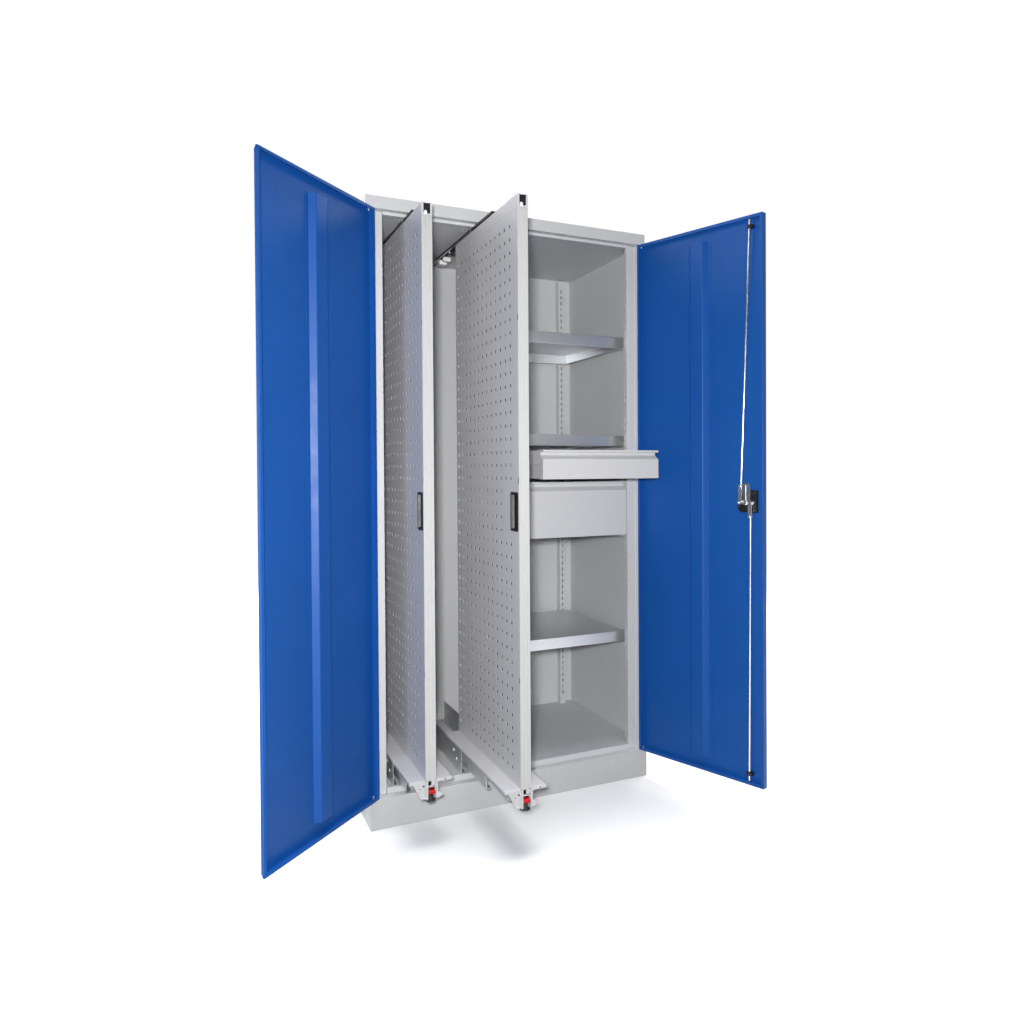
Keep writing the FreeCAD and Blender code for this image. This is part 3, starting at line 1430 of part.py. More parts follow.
def check_and_write():
    """Stop at any failed object, then write each piece to its own file."""
    doc.recompute()
    for item in doc.Objects:
        if "Invalid" in item.State or "Error" in item.State:
            raise RuntimeError("%s failed: %s" % (item.Label, item.State))
    pieces = [item for item in doc.Objects if item.isDerivedFrom("PartDesign::Body")]
    os.makedirs("parts", exist_ok=True)
    for piece in pieces:
        shape = piece.Shape
        if shape.isNull() or not shape.isValid() or not shape.Solids:
            raise RuntimeError("%s has no sound solid" % piece.Label)
        shape.exportStep(os.path.join("parts", piece.Label + ".step"))
    print("%d pieces" % len(pieces))


build()
check_and_write()
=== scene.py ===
"""Dressed model of a two-door cabinet with two vertical pull-outs.

Pieces are drawn in millimetres, in the frame of the CAD: X to the right, Y to
the back, Z up. Each sub-assembly is a class that holds its own sizes.
"""
import json
import logging
import math
from collections.abc import Callable, Iterable, Sequence
from dataclasses import dataclass, field
from enum import Enum

import bmesh
import bpy
from mathutils import Matrix, Vector


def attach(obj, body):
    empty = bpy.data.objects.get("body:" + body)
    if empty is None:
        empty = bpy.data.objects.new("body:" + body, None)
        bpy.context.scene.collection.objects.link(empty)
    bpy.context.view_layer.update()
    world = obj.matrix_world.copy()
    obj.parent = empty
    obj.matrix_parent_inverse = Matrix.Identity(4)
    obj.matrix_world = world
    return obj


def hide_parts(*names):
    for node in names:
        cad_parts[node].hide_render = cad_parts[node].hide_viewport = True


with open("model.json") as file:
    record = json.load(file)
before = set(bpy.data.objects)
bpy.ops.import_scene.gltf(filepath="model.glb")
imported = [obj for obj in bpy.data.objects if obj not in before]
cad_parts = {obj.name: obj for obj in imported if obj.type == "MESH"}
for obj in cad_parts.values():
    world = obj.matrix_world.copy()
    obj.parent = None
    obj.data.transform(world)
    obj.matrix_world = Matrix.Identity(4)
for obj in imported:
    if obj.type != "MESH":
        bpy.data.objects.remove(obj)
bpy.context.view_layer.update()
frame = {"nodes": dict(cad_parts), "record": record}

logging.basicConfig(level=logging.INFO, format="%(message)s")
LOG = logging.getLogger("cabinet")

MILLIMETRE = 0.001
TO_METRES = Matrix.Scale(MILLIMETRE, 4)
SHARP_ANGLE = math.radians(47)
FOLD_ANGLE = math.radians(28)

Point2 = tuple[float, float]
Point3 = tuple[float, float, float]
Colour = tuple[float, float, float, float]


def card(red: int, green: int, blue: int) -> Colour:
    """Return a paint-card colour as linear light.

    Args:
        red: Red of the card, 0 to 255.
        green: Green of the card, 0 to 255.
        blue: Blue of the card, 0 to 255.

    Returns:
        The colour as four linear numbers.
    """
    def light(level: int) -> float:
        """Return one channel as linear light."""
        share = level / 255
        return share / 12.92 if share <= 0.04045 else ((share + 0.055) / 1.055) ** 2.4
    return (light(red), light(green), light(blue), 1.0)


def shaded(colour: Colour, factor: float) -> Colour:
    """Return a colour made lighter or darker.

    Args:
        colour: The colour to start from.
        factor: How much light it keeps.

    Returns:
        The scaled colour.
    """
    return (colour[0] * factor, colour[1] * factor, colour[2] * factor, 1.0)


# Finishes

class ShaderGraph:
    """The node tree of one material, with short calls for the nodes that finishes need."""

    def __init__(self, name: str) -> None:
        """Make an empty material.

        Args:
            name: The material's name.
        """
        self.material = bpy.data.materials.new(name)
        self.material.use_nodes = True
        self.tree = self.material.node_tree
        self.shader = self.tree.nodes["Principled BSDF"]
        self.place = self.add("ShaderNodeTexCoord").outputs["Object"]

    def add(self, kind: str, inputs: dict[str, object] | None = None, **settings: object) -> bpy.types.Node:
        """Add a node.

        Args:
            kind: The node's type.
            inputs: Values or sockets for its inputs.
            settings: Properties of the node.

        Returns:
            The new node.
        """
        node = self.tree.nodes.new(kind)
        for key, setting in settings.items():
            setattr(node, key, setting)
        for key, source in (inputs or {}).items():
            if isinstance(source, bpy.types.NodeSocket):
                self.tree.links.new(source, node.inputs[key])
            else:
                node.inputs[key].default_value = source
        return node

    def stretched(self, scale: Point3) -> bpy.types.NodeSocket:
        """Return the object's coordinates stretched along its axes."""
        return self.add("ShaderNodeMapping", {"Vector": self.place, "Scale": scale}).outputs["Vector"]

    def noise(self, scale: float, detail: float = 2.0, place: bpy.types.NodeSocket | None = None) -> bpy.types.NodeSocket:
        """Return a noise pattern.

        Args:
            scale: Features per metre.
            detail: Octaves of the noise.
            place: Coordinates, or the object's own ones.

        Returns:
            The factor of the noise.
        """
        inputs = {"Vector": place or self.place, "Scale": scale, "Detail": detail}
        return self.add("ShaderNodeTexNoise", inputs).outputs["Fac"]

    def ranged(self, source: bpy.types.NodeSocket, low: float, high: float,
               start: float = 0.3, stop: float = 0.7) -> bpy.types.NodeSocket:
        """Return a pattern spread over a range.

        Args:
            source: The pattern.
            low: Result at the start.
            high: Result at the stop.
            start: Where the pattern starts.
            stop: Where the pattern stops.

        Returns:
            The spread pattern.
        """
        inputs = {"Value": source, "From Min": start, "From Max": stop, "To Min": low, "To Max": high}
        return self.add("ShaderNodeMapRange", inputs).outputs["Result"]

    def blend(self, factor: bpy.types.NodeSocket, first: object, second: object) -> bpy.types.NodeSocket:
        """Return a mix of two colours by a pattern."""
        node = self.add("ShaderNodeMix", data_type="RGBA")
        self.tree.links.new(factor, node.inputs[0])
        for socket, source in ((node.inputs[6], first), (node.inputs[7], second)):
            if isinstance(source, bpy.types.NodeSocket):
                self.tree.links.new(source, socket)
            else:
                socket.default_value = source
        return node.outputs[2]

    def relief(self, height: bpy.types.NodeSocket, strength: float, depth: float,
               under: bpy.types.NodeSocket | None = None) -> bpy.types.NodeSocket:
        """Return normals bent by a height pattern.

        Args:
            height: The pattern of heights.
            strength: How much of the bump shows.
            depth: Height of the bump in metres.
            under: Normals of a coarser bump below it.

        Returns:
            The bent normals.
        """
        inputs: dict[str, object] = {"Height": height, "Strength": strength, "Distance": depth}
        if under is not None:
            inputs["Normal"] = under
        return self.add("ShaderNodeBump", inputs).outputs["Normal"]

    def feed(self, **inputs: object) -> bpy.types.Material:
        """Set the shader's inputs, named with underscores for spaces, and return the material."""
        for key, source in inputs.items():
            socket = self.shader.inputs[key.replace("_", " ")]
            if isinstance(source, bpy.types.NodeSocket):
                self.tree.links.new(source, socket)
            else:
                socket.default_value = source
        return self.material


@dataclass(frozen=True)
class PowderCoat:
    """Powder coat on sheet steel: even colour, satin gloss and a fine orange peel."""

    colour: Colour
    gloss: float = 0.42
    drift: float = 0.035
    peel_scale: float = 520.0
    peel: float = 0.10
    shine: float = 0.5

    def build(self, name: str) -> bpy.types.Material:
        """Return the coat's material."""
        graph = ShaderGraph(name)
        broad = graph.noise(3.5, 3.0)
        close = graph.noise(55.0, 4.0)
        tone = graph.blend(graph.ranged(broad, 0.0, 1.0), shaded(self.colour, 1 - self.drift),
                           shaded(self.colour, 1 + self.drift))
        speck = graph.blend(graph.ranged(close, 0.0, 1.0, 0.35, 0.75), tone, shaded(self.colour, 0.985))
        rough = graph.ranged(graph.noise(18.0, 3.0), self.gloss - 0.04, self.gloss + 0.06)
        sag = graph.relief(graph.noise(38.0, 1.0), 0.12, 0.0004)
        peel = graph.relief(graph.noise(self.peel_scale, 2.0), self.peel, 0.00025, sag)
        return graph.feed(Base_Color=speck, Roughness=rough, Normal=peel, Specular_IOR_Level=self.shine)


@dataclass(frozen=True)
class Galvanised:
    """Hot-dip galvanised sheet with crystals of its zinc showing."""

    light: Colour
    dark: Colour
    crystal: float = 95.0
    gloss: float = 0.36

    def build(self, name: str) -> bpy.types.Material:
        """Return the sheet's material."""
        graph = ShaderGraph(name)
        bent = graph.blend(graph.noise(30.0, 3.0), (0.0, 0.0, 0.0, 1.0), (0.02, 0.02, 0.02, 1.0))
        place = graph.add("ShaderNodeVectorMath", {0: graph.place, 1: bent}, operation="ADD").outputs["Vector"]
        cells = graph.add("ShaderNodeTexVoronoi", {"Vector": place, "Scale": self.crystal, "Randomness": 1.0})
        grain = graph.add("ShaderNodeRGBToBW", {"Color": cells.outputs["Color"]}).outputs["Val"]
        cloud = graph.noise(6.0, 4.0)
        flake = graph.blend(graph.ranged(grain, 0.0, 1.0, 0.2, 0.8), self.dark, self.light)
        tone = graph.blend(graph.ranged(cloud, 0.0, 0.55), flake, shaded(self.dark, 0.92))
        rough = graph.ranged(grain, self.gloss - 0.08, self.gloss + 0.14, 0.2, 0.8)
        edge = graph.relief(cells.outputs["Distance"], 0.10, 0.0004)
        skin = graph.relief(graph.noise(420.0, 3.0), 0.08, 0.0002, edge)
        return graph.feed(Base_Color=tone, Roughness=rough, Metallic=0.25, Normal=skin)


@dataclass(frozen=True)
class BrightSteel:
    """Zinc-plated or bright rolled steel with fine rolling lines."""

    colour: Colour
    gloss: float = 0.28
    metal: float = 1.0
    lines: Point3 = (900.0, 40.0, 900.0)

    def build(self, name: str) -> bpy.types.Material:
        """Return the steel's material."""
        graph = ShaderGraph(name)
        rolled = graph.noise(1.0, 3.0, graph.stretched(self.lines))
        cloud = graph.noise(14.0, 3.0)
        tone = graph.blend(graph.ranged(cloud, 0.0, 1.0), shaded(self.colour, 0.9), shaded(self.colour, 1.06))
        tint = graph.blend(graph.ranged(rolled, 0.0, 0.5), tone, shaded(self.colour, 0.82))
        rough = graph.ranged(rolled, self.gloss - 0.05, self.gloss + 0.1)
        lines = graph.relief(rolled, 0.08, 0.0002)
        return graph.feed(Base_Color=tint, Roughness=rough, Metallic=self.metal, Normal=lines)


@dataclass(frozen=True)
class MouldedPlastic:
    """Injection-moulded plastic with a spark-eroded grain."""

    colour: Colour
    gloss: float = 0.42
    grain: float = 0.16
    grain_scale: float = 1500.0

    def build(self, name: str) -> bpy.types.Material:
        """Return the plastic's material."""
        graph = ShaderGraph(name)
        flow = graph.noise(22.0, 3.0)
        tone = graph.blend(graph.ranged(flow, 0.0, 1.0), shaded(self.colour, 0.88), shaded(self.colour, 1.12))
        rough = graph.ranged(graph.noise(60.0, 3.0), self.gloss - 0.05, self.gloss + 0.08)
        grain = graph.relief(graph.noise(self.grain_scale, 2.0), self.grain, 0.00015)
        return graph.feed(Base_Color=tone, Roughness=rough, Normal=grain, Specular_IOR_Level=0.45)


@dataclass(frozen=True)
class StudioFloor:
    """Pale matt studio floor."""

    colour: Colour

    def build(self, name: str) -> bpy.types.Material:
        """Return the floor's material."""
        graph = ShaderGraph(name)
        tone = graph.blend(graph.noise(1.5, 3.0), shaded(self.colour, 0.99), self.colour)
        grain = graph.relief(graph.noise(300.0, 2.0), 0.05, 0.0005)
        return graph.feed(Base_Color=tone, Roughness=0.9, Normal=grain, Specular_IOR_Level=0.1)


GREY = card(203, 204, 205)
SHEET_GREY = card(200, 200, 202)
WARM_GREY = card(193, 193, 193)
BLUE = card(17, 81, 160)


class Finish(Enum):
    """The finishes of the cabinet: material slot of the record, and how the surface is made."""

    CARCASS = ("carcass_paint", PowderCoat(GREY))
    PULLOUT = ("pullout_paint", PowderCoat(SHEET_GREY, gloss=0.45))
    # Dark coat for the perforated sheets' inner faces: painted shade, so the holes read dark.
    INSIDE = ("pullout_paint", PowderCoat(card(70, 70, 72), gloss=0.6))
    UPRIGHT = ("pullout_paint", PowderCoat(WARM_GREY, gloss=0.38))
    DRAWER = ("drawer_paint", PowderCoat(card(203, 203, 204), gloss=0.40))
    DOOR = ("door_paint", PowderCoat(BLUE, gloss=0.44, drift=0.05, shine=0.32))
    GALVANISED = ("galvanised", Galvanised(card(128, 124, 113), card(98, 95, 86)))
    ZINC = ("zinc", BrightSteel(card(205, 206, 208), gloss=0.34, metal=0.9))
    BRIGHT = ("zinc", BrightSteel(card(226, 227, 229), gloss=0.16))
    ROD = ("zinc", BrightSteel(card(228, 230, 233), gloss=0.22, lines=(900.0, 900.0, 25.0)))
    # Dark steel of screws and the slide member, also laid in the key slot, the upright's slots and the tray's hole as
    # painted shade.
    SCREW = ("zinc", BrightSteel(card(70, 72, 78), gloss=0.34, metal=0.85))
    BLACK = ("black_plastic", MouldedPlastic(card(24, 24, 27)))
    CASE = ("black_plastic", MouldedPlastic(card(20, 20, 23), gloss=0.34, grain=0.1))
    RUBBER = ("roller_plastic", MouldedPlastic(card(34, 34, 38), gloss=0.55, grain=0.2))
    WHITE = ("roller_plastic", MouldedPlastic(card(236, 237, 235), gloss=0.38, grain=0.08))
    RED = ("red_plastic", MouldedPlastic(card(176, 14, 22), gloss=0.40, grain=0.12))
    FLOOR = ("", StudioFloor((0.93, 0.93, 0.93, 1.0)))

    @property
    def slot(self) -> str:
        """Return the record's material slot."""
        return self.value[0]

    @property
    def material(self) -> bpy.types.Material:
        """Return the finish's material, made at its first use."""
        name = self.name.lower()
        found = bpy.data.materials.get(name)
        return found or self.value[1].build(name)


SLOT_FINISH = {
    "carcass_paint": Finish.CARCASS,
    "pullout_paint": Finish.PULLOUT,
    "drawer_paint": Finish.DRAWER,
    "door_paint": Finish.DOOR,
    "galvanised": Finish.GALVANISED,
    "zinc": Finish.ZINC,
    "black_plastic": Finish.BLACK,
    "roller_plastic": Finish.RUBBER,
    "red_plastic": Finish.RED,
}


# Making meshes

class Axis(Enum):
    """An axis of a piece's own frame."""

    X = 0
    Y = 1
    Z = 2

    def point(self, across: float, up: float, along: float) -> Vector:
        """Return a point given across, up and along this axis."""
        if self is Axis.X:
            return Vector((along, across, up))
        if self is Axis.Y:
            return Vector((across, along, up))
        return Vector((across, up, along))


def slimness(face: bmesh.types.BMFace) -> float:
    """Return the width of a long face, or about half the width of a square one."""
    return 2 * face.calc_area() / max(face.calc_perimeter(), 1e-9)


def rounded(corners: Sequence[Point2], radius: float | Sequence[float], steps: int = 4) -> list[Point2]:
    """Round the corners of a closed outline.

    Args:
        corners: Corners in order.
        radius: One radius, or one for each corner.
        steps: Straight parts of each rounded corner.

    Returns:
        The corners of the rounded outline.
    """
    radii = [radius] * len(corners) if isinstance(radius, (int, float)) else list(radius)
    result: list[Point2] = []
    count = len(corners)
    for index, corner in enumerate(corners):
        here = Vector(corner)
        before = (Vector(corners[index - 1]) - here).normalized()
        after = (Vector(corners[(index + 1) % count]) - here).normalized()
        size = radii[index]
        angle = before.angle(after)
        if size <= 0 or angle > math.radians(178):
            result.append(corner)
            continue
        reach = size / math.tan(angle / 2)
        centre = here + (before + after).normalized() * (size / math.sin(angle / 2))
        start = here + before * reach - centre
        stop = here + after * reach - centre
        turn = start.angle_signed(stop)
        for step in range(steps + 1):
            spoke = start.copy()
            spoke.rotate(Matrix.Rotation(-turn * step / steps, 2))
            result.append((centre.x + spoke.x, centre.y + spoke.y))
    return result


def box_outline(left: float, low: float, right: float, high: float) -> list[Point2]:
    """Return the corners of a rectangle."""
    return [(left, low), (right, low), (right, high), (left, high)]


def stadium(centre: Point2, length: float, width: float, steps: int = 8) -> list[Point2]:
    """Return a slot outline with round ends, lying along the first axis."""
    half_length, half_width = length / 2, width / 2
    corners = box_outline(centre[0] - half_length, centre[1] - half_width,
                          centre[0] + half_length, centre[1] + half_width)
    return rounded(corners, half_width * 0.999, steps)


class Workpiece:
    """A piece in the making, drawn in millimetres of its own frame."""

    def __init__(self, name: str, place: Matrix | None = None) -> None:
        """Start a piece.

        Args:
            name: The piece's name.
            place: Its own frame in the cabinet's frame, in millimetres.
        """
        self.name = name
        self.place = place or Matrix.Identity(4)
        self.mesh = bmesh.new()

    def ring_faces(self, rings: Sequence[Sequence[bmesh.types.BMVert]], caps: bool = True) -> list[bmesh.types.BMFace]:
        """Join closed rings of vertices in their order.

        Args:
            rings: Rings with the same number of vertices.
            caps: Whether the first and last ring are closed.

        Returns:
            The new faces.
        """
        faces = []
        for lower, upper in zip(rings, rings[1:]):
            count = len(lower)
            for index in range(count):
                after = (index + 1) % count
                faces.append(self.mesh.faces.new((lower[index], lower[after], upper[after], upper[index])))
        if caps:
            faces.append(self.mesh.faces.new(list(reversed(rings[0]))))
            faces.append(self.mesh.faces.new(rings[-1]))
        return faces

    def lofted(self, rings: Iterable[Iterable[Point3 | Vector]], caps: bool = True) -> list[bmesh.types.BMFace]:
        """Add a form that runs through rings of points."""
        return self.ring_faces([[self.mesh.verts.new(point) for point in ring] for ring in rings], caps)

    def prism(self, outline: Sequence[Point2], axis: Axis, start: float, stop: float) -> list[bmesh.types.BMFace]:
        """Add an outline drawn along an axis.

        Args:
            outline: Corners across and up.
            axis: The axis that it runs along.
            start: Where it starts.
            stop: Where it stops.

        Returns:
            The new faces.
        """
        return self.lofted([[axis.point(a, b, level) for a, b in outline] for level in (start, stop)])

    def turned(self, profile: Sequence[Point2], centre: Point2, axis: Axis, sides: int = 28) -> list[bmesh.types.BMFace]:
        """Add a turned form.

        Args:
            profile: Radius and place along the axis, from one end to the other.
            centre: The axis's place across and up.
            axis: The axis that it turns about.
            sides: Flats round the form.

        Returns:
            The new faces.
        """
        rings = []
        for radius, along in profile:
            ring = []
            for side in range(sides):
                angle = 2 * math.pi * side / sides
                ring.append(axis.point(centre[0] + radius * math.cos(angle), centre[1] + radius * math.sin(angle), along))
            rings.append(ring)
        return self.lofted(rings)

    def tube(self, start: Point3, stop: Point3, radius: float, sides: int = 16, dome: float = 0.3) -> None:
        """Add a round bar between two points, with its ends broken by a small bevel."""
        first, last = Vector(start), Vector(stop)
        along = (last - first).normalized()
        side = along.orthogonal().normalized()
        other = along.cross(side)
        rings = []
        for centre, size in ((first, radius - dome), (first + along * dome, radius),
                             (last - along * dome, radius), (last, radius - dome)):
            ring = []
            for index in range(sides):
                angle = 2 * math.pi * index / sides
                ring.append(centre + (side * math.cos(angle) + other * math.sin(angle)) * size)
            rings.append(ring)
        self.lofted(rings)

    def screw(self, centre: Point3, axis: Axis, sign: float, radius: float, height: float, socket: bool = True) -> None:
        """Add a pan-head screw with a round socket.

        Args:
            centre: Where the screw's axis meets the sheet.
            axis: The screw's axis.
            sign: Direction from the sheet to the head, 1 or -1.
            radius: Radius of the head.
            height: Height of the head.
            socket: Whether the head has a socket.
        """
        across, up, along = {
            Axis.X: (centre[1], centre[2], centre[0]),
            Axis.Y: (centre[0], centre[2], centre[1]),
            Axis.Z: (centre[0], centre[1], centre[2]),
        }[axis]
        profile = [(radius, 0.0), (radius, height * 0.35), (radius * 0.86, height * 0.8), (radius * 0.55, height)]
        if socket:
            profile += [(radius * 0.42, height), (radius * 0.36, height * 0.35), (radius * 0.05, height * 0.3)]
        else:
            profile += [(radius * 0.05, height * 1.04)]
        self.turned([(size, along + sign * level) for size, level in profile], (across, up), axis, 20)

    def soften(self, fold: float = 0.0, rim: float = 0.35, sheet: float = 2.3, steps: int = 3) -> None:
        """Round the bends and break the rims, as on real folded sheet.

        Args:
            fold: Outer radius of the bends, or 0 for none.
            rim: Radius of the remaining edges.
            sheet: Faces slimmer than this are rims of the sheet.
            steps: Flats of each bend.
        """
        bmesh.ops.recalc_face_normals(self.mesh, faces=self.mesh.faces)
        if fold > 0:
            bends = []
            for edge in self.mesh.edges:
                if len(edge.link_faces) != 2 or edge.calc_face_angle_signed(0) < FOLD_ANGLE:
                    continue
                if all(slimness(face) > sheet for face in edge.link_faces):
                    bends.append(edge)
            if bends:
                self.bevel(bends, fold, steps)
        if rim > 0:
            rims = [edge for edge in self.mesh.edges
                    if len(edge.link_faces) == 2 and edge.calc_face_angle(0) > math.radians(33)]
            self.bevel(rims, rim, 2)

    def bevel(self, edges: list[bmesh.types.BMEdge], size: float, steps: int) -> None:
        """Round edges by a size in millimetres."""
        bmesh.ops.bevel(self.mesh, geom=edges, offset=size, offset_type="OFFSET", segments=steps,
                        profile=0.5, affect="EDGES", clamp_overlap=True, loop_slide=True)

    def finish(self, finish: Finish, body: str, replaces: Sequence[str] = (),
               inside: Finish | None = None) -> bpy.types.Object:
        """Set the piece in place and hand it over to its body.

        Args:
            finish: Its surface.
            body: The CAD body that it moves with.
            replaces: The CAD nodes that it stands for.
            inside: Surface of the faces marked with the second material; on the pull-out sheets a dark coat of painted
                shade.

        Returns:
            The finished object.
        """
        self.mesh.transform(TO_METRES @ self.place)
        bmesh.ops.recalc_face_normals(self.mesh, faces=self.mesh.faces)
        data = bpy.data.meshes.new(self.name)
        self.mesh.to_mesh(data)
        self.mesh.free()
        for polygon in data.polygons:
            polygon.use_smooth = True
        data.set_sharp_from_angle(angle=SHARP_ANGLE)
        piece = bpy.data.objects.new(self.name, data)
        bpy.context.scene.collection.objects.link(piece)
        data.materials.append(finish.material)
        if inside is not None:
            data.materials.append(inside.material)
        normals = piece.modifiers.new("even_normals", "WEIGHTED_NORMAL")
        normals.keep_sharp = True
        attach(piece, body)
        if replaces:
            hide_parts(*replaces)
        LOG.info("%s: %d faces, on %s", self.name, len(data.polygons), body)
        return piece


def folded_copy(node: str, finish: Finish, body: str, fold: float = 1.6, rim: float = 0.3,
                sheet: float = 2.3, cut_back: float = 0.0) -> bpy.types.Object:
    """Stand a copy with rounded bends and broken rims in place of a sheet-metal node.

    Args:
        node: The CAD node.
        finish: Its surface.
        body: The body that it moves with.
        fold: Outer radius of its bends.
        rim: Radius along its rims.
        sheet: Faces slimmer than this are rims.
        cut_back: How far its front end stands back from the node's.

    Returns:
        The finished object.
    """
    work = Workpiece(node + "_sheet" if not node.endswith("_sheet") else node + "_skin")
    work.mesh.from_mesh(frame["nodes"][node].data)
    work.mesh.transform(Matrix.Scale(1 / MILLIMETRE, 4))
    front = min(vertex.co.y for vertex in work.mesh.verts)
    for vertex in work.mesh.verts:
        if vertex.co.y < front + 0.01:
            vertex.co.y += cut_back
    bmesh.ops.remove_doubles(work.mesh, verts=work.mesh.verts, dist=0.004)
    bmesh.ops.dissolve_limit(work.mesh, angle_limit=math.radians(0.6), verts=work.mesh.verts, edges=work.mesh.edges)
    work.soften(fold, rim, sheet)
    return work.finish(finish, body, [node])


@dataclass
class FormedStrip:
    """Sheet of one thickness that follows a bent line, with openings punched in its flats."""

    line: Sequence[Point2]
    axis: Axis
    start: float
    stop: float
    sheet: float
    bend: float = 1.4
    steps: int = 4
    inside: int = 0

    def samples(self) -> tuple[list[Vector], list[Vector], list[float], list[float]]:
        """Return points, normals and lengths along the line, and the lengths at its corners."""
        points: list[Vector] = [Vector(self.line[0])]
        normals: list[Vector] = []
        corners: list[float] = [0.0]
        raw = [Vector(point) for point in self.line]
        for index in range(1, len(raw) - 1):
            before = (raw[index] - raw[index - 1]).normalized()
            after = (raw[index + 1] - raw[index]).normalized()
            turn = before.angle_signed(after)
            reach = self.bend * math.tan(abs(turn) / 2)
            side = Vector((-before.y, before.x)) * (-1 if turn > 0 else 1)
            centre = raw[index] - before * reach + side * self.bend
            spoke = -side * self.bend
            for step in range(self.steps + 1):
                arm = spoke.copy()
                arm.rotate(Matrix.Rotation(-turn * step / self.steps, 2))
                points.append(centre + arm)
        points.append(raw[-1])
        lengths = [0.0]
        for first, second in zip(points, points[1:]):
            lengths.append(lengths[-1] + (second - first).length)
        for index in range(len(points)):
            first = points[max(index - 1, 0)]
            last = points[min(index + 1, len(points) - 1)]
            along = (last - first).normalized()
            normals.append(Vector((-along.y, along.x)))
        for index in range(1, len(raw) - 1):
            middle = 1 + (index - 1) * (self.steps + 1) + self.steps // 2
            corners.append(lengths[middle])
        corners.append(lengths[-1])
        return points, normals, lengths, corners

    def add_to(self, work: Workpiece, openings: Callable[[list[float]], list[tuple[float, float, float, float]]]) -> None:
        """Add the strip to a piece.

        Args:
            work: The piece.
            openings: Gives the openings from the lengths at the line's corners, each as its first and last
                length along the line and its first and last place along the axis.
        """
        points, normals, lengths, corners = self.samples()
        holes = openings(corners)
        cuts = sorted({round(edge, 4) for hole in holes for edge in hole[:2]})
        for cut in cuts:
            if any(abs(cut - length) < 0.01 for length in lengths):
                continue
            index = next(i for i, length in enumerate(lengths) if length > cut)
            share = (cut - lengths[index - 1]) / (lengths[index] - lengths[index - 1])
            points.insert(index, points[index - 1].lerp(points[index], share))
            flat = (points[index + 1] - points[index - 1]).normalized()
            normals.insert(index, Vector((-flat.y, flat.x)))
            lengths.insert(index, cut)
        levels = sorted({self.start, self.stop} | {round(edge, 4) for hole in holes for edge in hole[2:]})
        rows, columns = len(levels), len(lengths)
        solid = [[True] * (rows - 1) for _ in range(columns - 1)]
        by_column: dict[int, list[tuple[float, float]]] = {}
        for first, last, low, high in holes:
            for column in range(columns - 1):
                if first - 0.01 < (lengths[column] + lengths[column + 1]) / 2 < last + 0.01:
                    by_column.setdefault(column, []).append((low, high))
        for column, spans in by_column.items():
            for row in range(rows - 1):
                middle = (levels[row] + levels[row + 1]) / 2
                if any(low < middle < high for low, high in spans):
                    solid[column][row] = False
        sides: list[dict[tuple[int, int], bmesh.types.BMVert]] = [{}, {}]

        def corner(side: int, column: int, row: int) -> bmesh.types.BMVert:
            """Return the vertex at a crossing of the grid, on the outer or inner side."""
            key = (column, row)
            if key not in sides[side]:
                place = points[column] + normals[column] * (self.sheet * side)
                sides[side][key] = work.mesh.verts.new(self.axis.point(place.x, place.y, levels[row]))
            return sides[side][key]

        def filled(column: int, row: int) -> bool:
            """Return whether a cell of the grid has sheet in it."""
            return 0 <= column < columns - 1 and 0 <= row < rows - 1 and solid[column][row]

        for column in range(columns - 1):
            for row in range(rows - 1):
                if not solid[column][row]:
                    continue
                frame_of_cell = [(column, row), (column + 1, row), (column + 1, row + 1), (column, row + 1)]
                work.mesh.faces.new([corner(0, *key) for key in frame_of_cell])
                inner = work.mesh.faces.new([corner(1, *key) for key in reversed(frame_of_cell)])
                # Inner faces take the second material; the pull-out sheets use it for painted shade.
                inner.material_index = self.inside
                neighbours = [(column, row - 1), (column + 1, row), (column, row + 1), (column - 1, row)]
                for index, beside in enumerate(neighbours):
                    if not filled(*beside):
                        first, second = frame_of_cell[index], frame_of_cell[(index + 1) % 4]
                        work.mesh.faces.new((corner(0, *second), corner(0, *first), corner(1, *first), corner(1, *second)))


def no_openings(corners: list[float]) -> list[tuple[float, float, float, float]]:
    """Return no openings."""
    return []


# Carcass

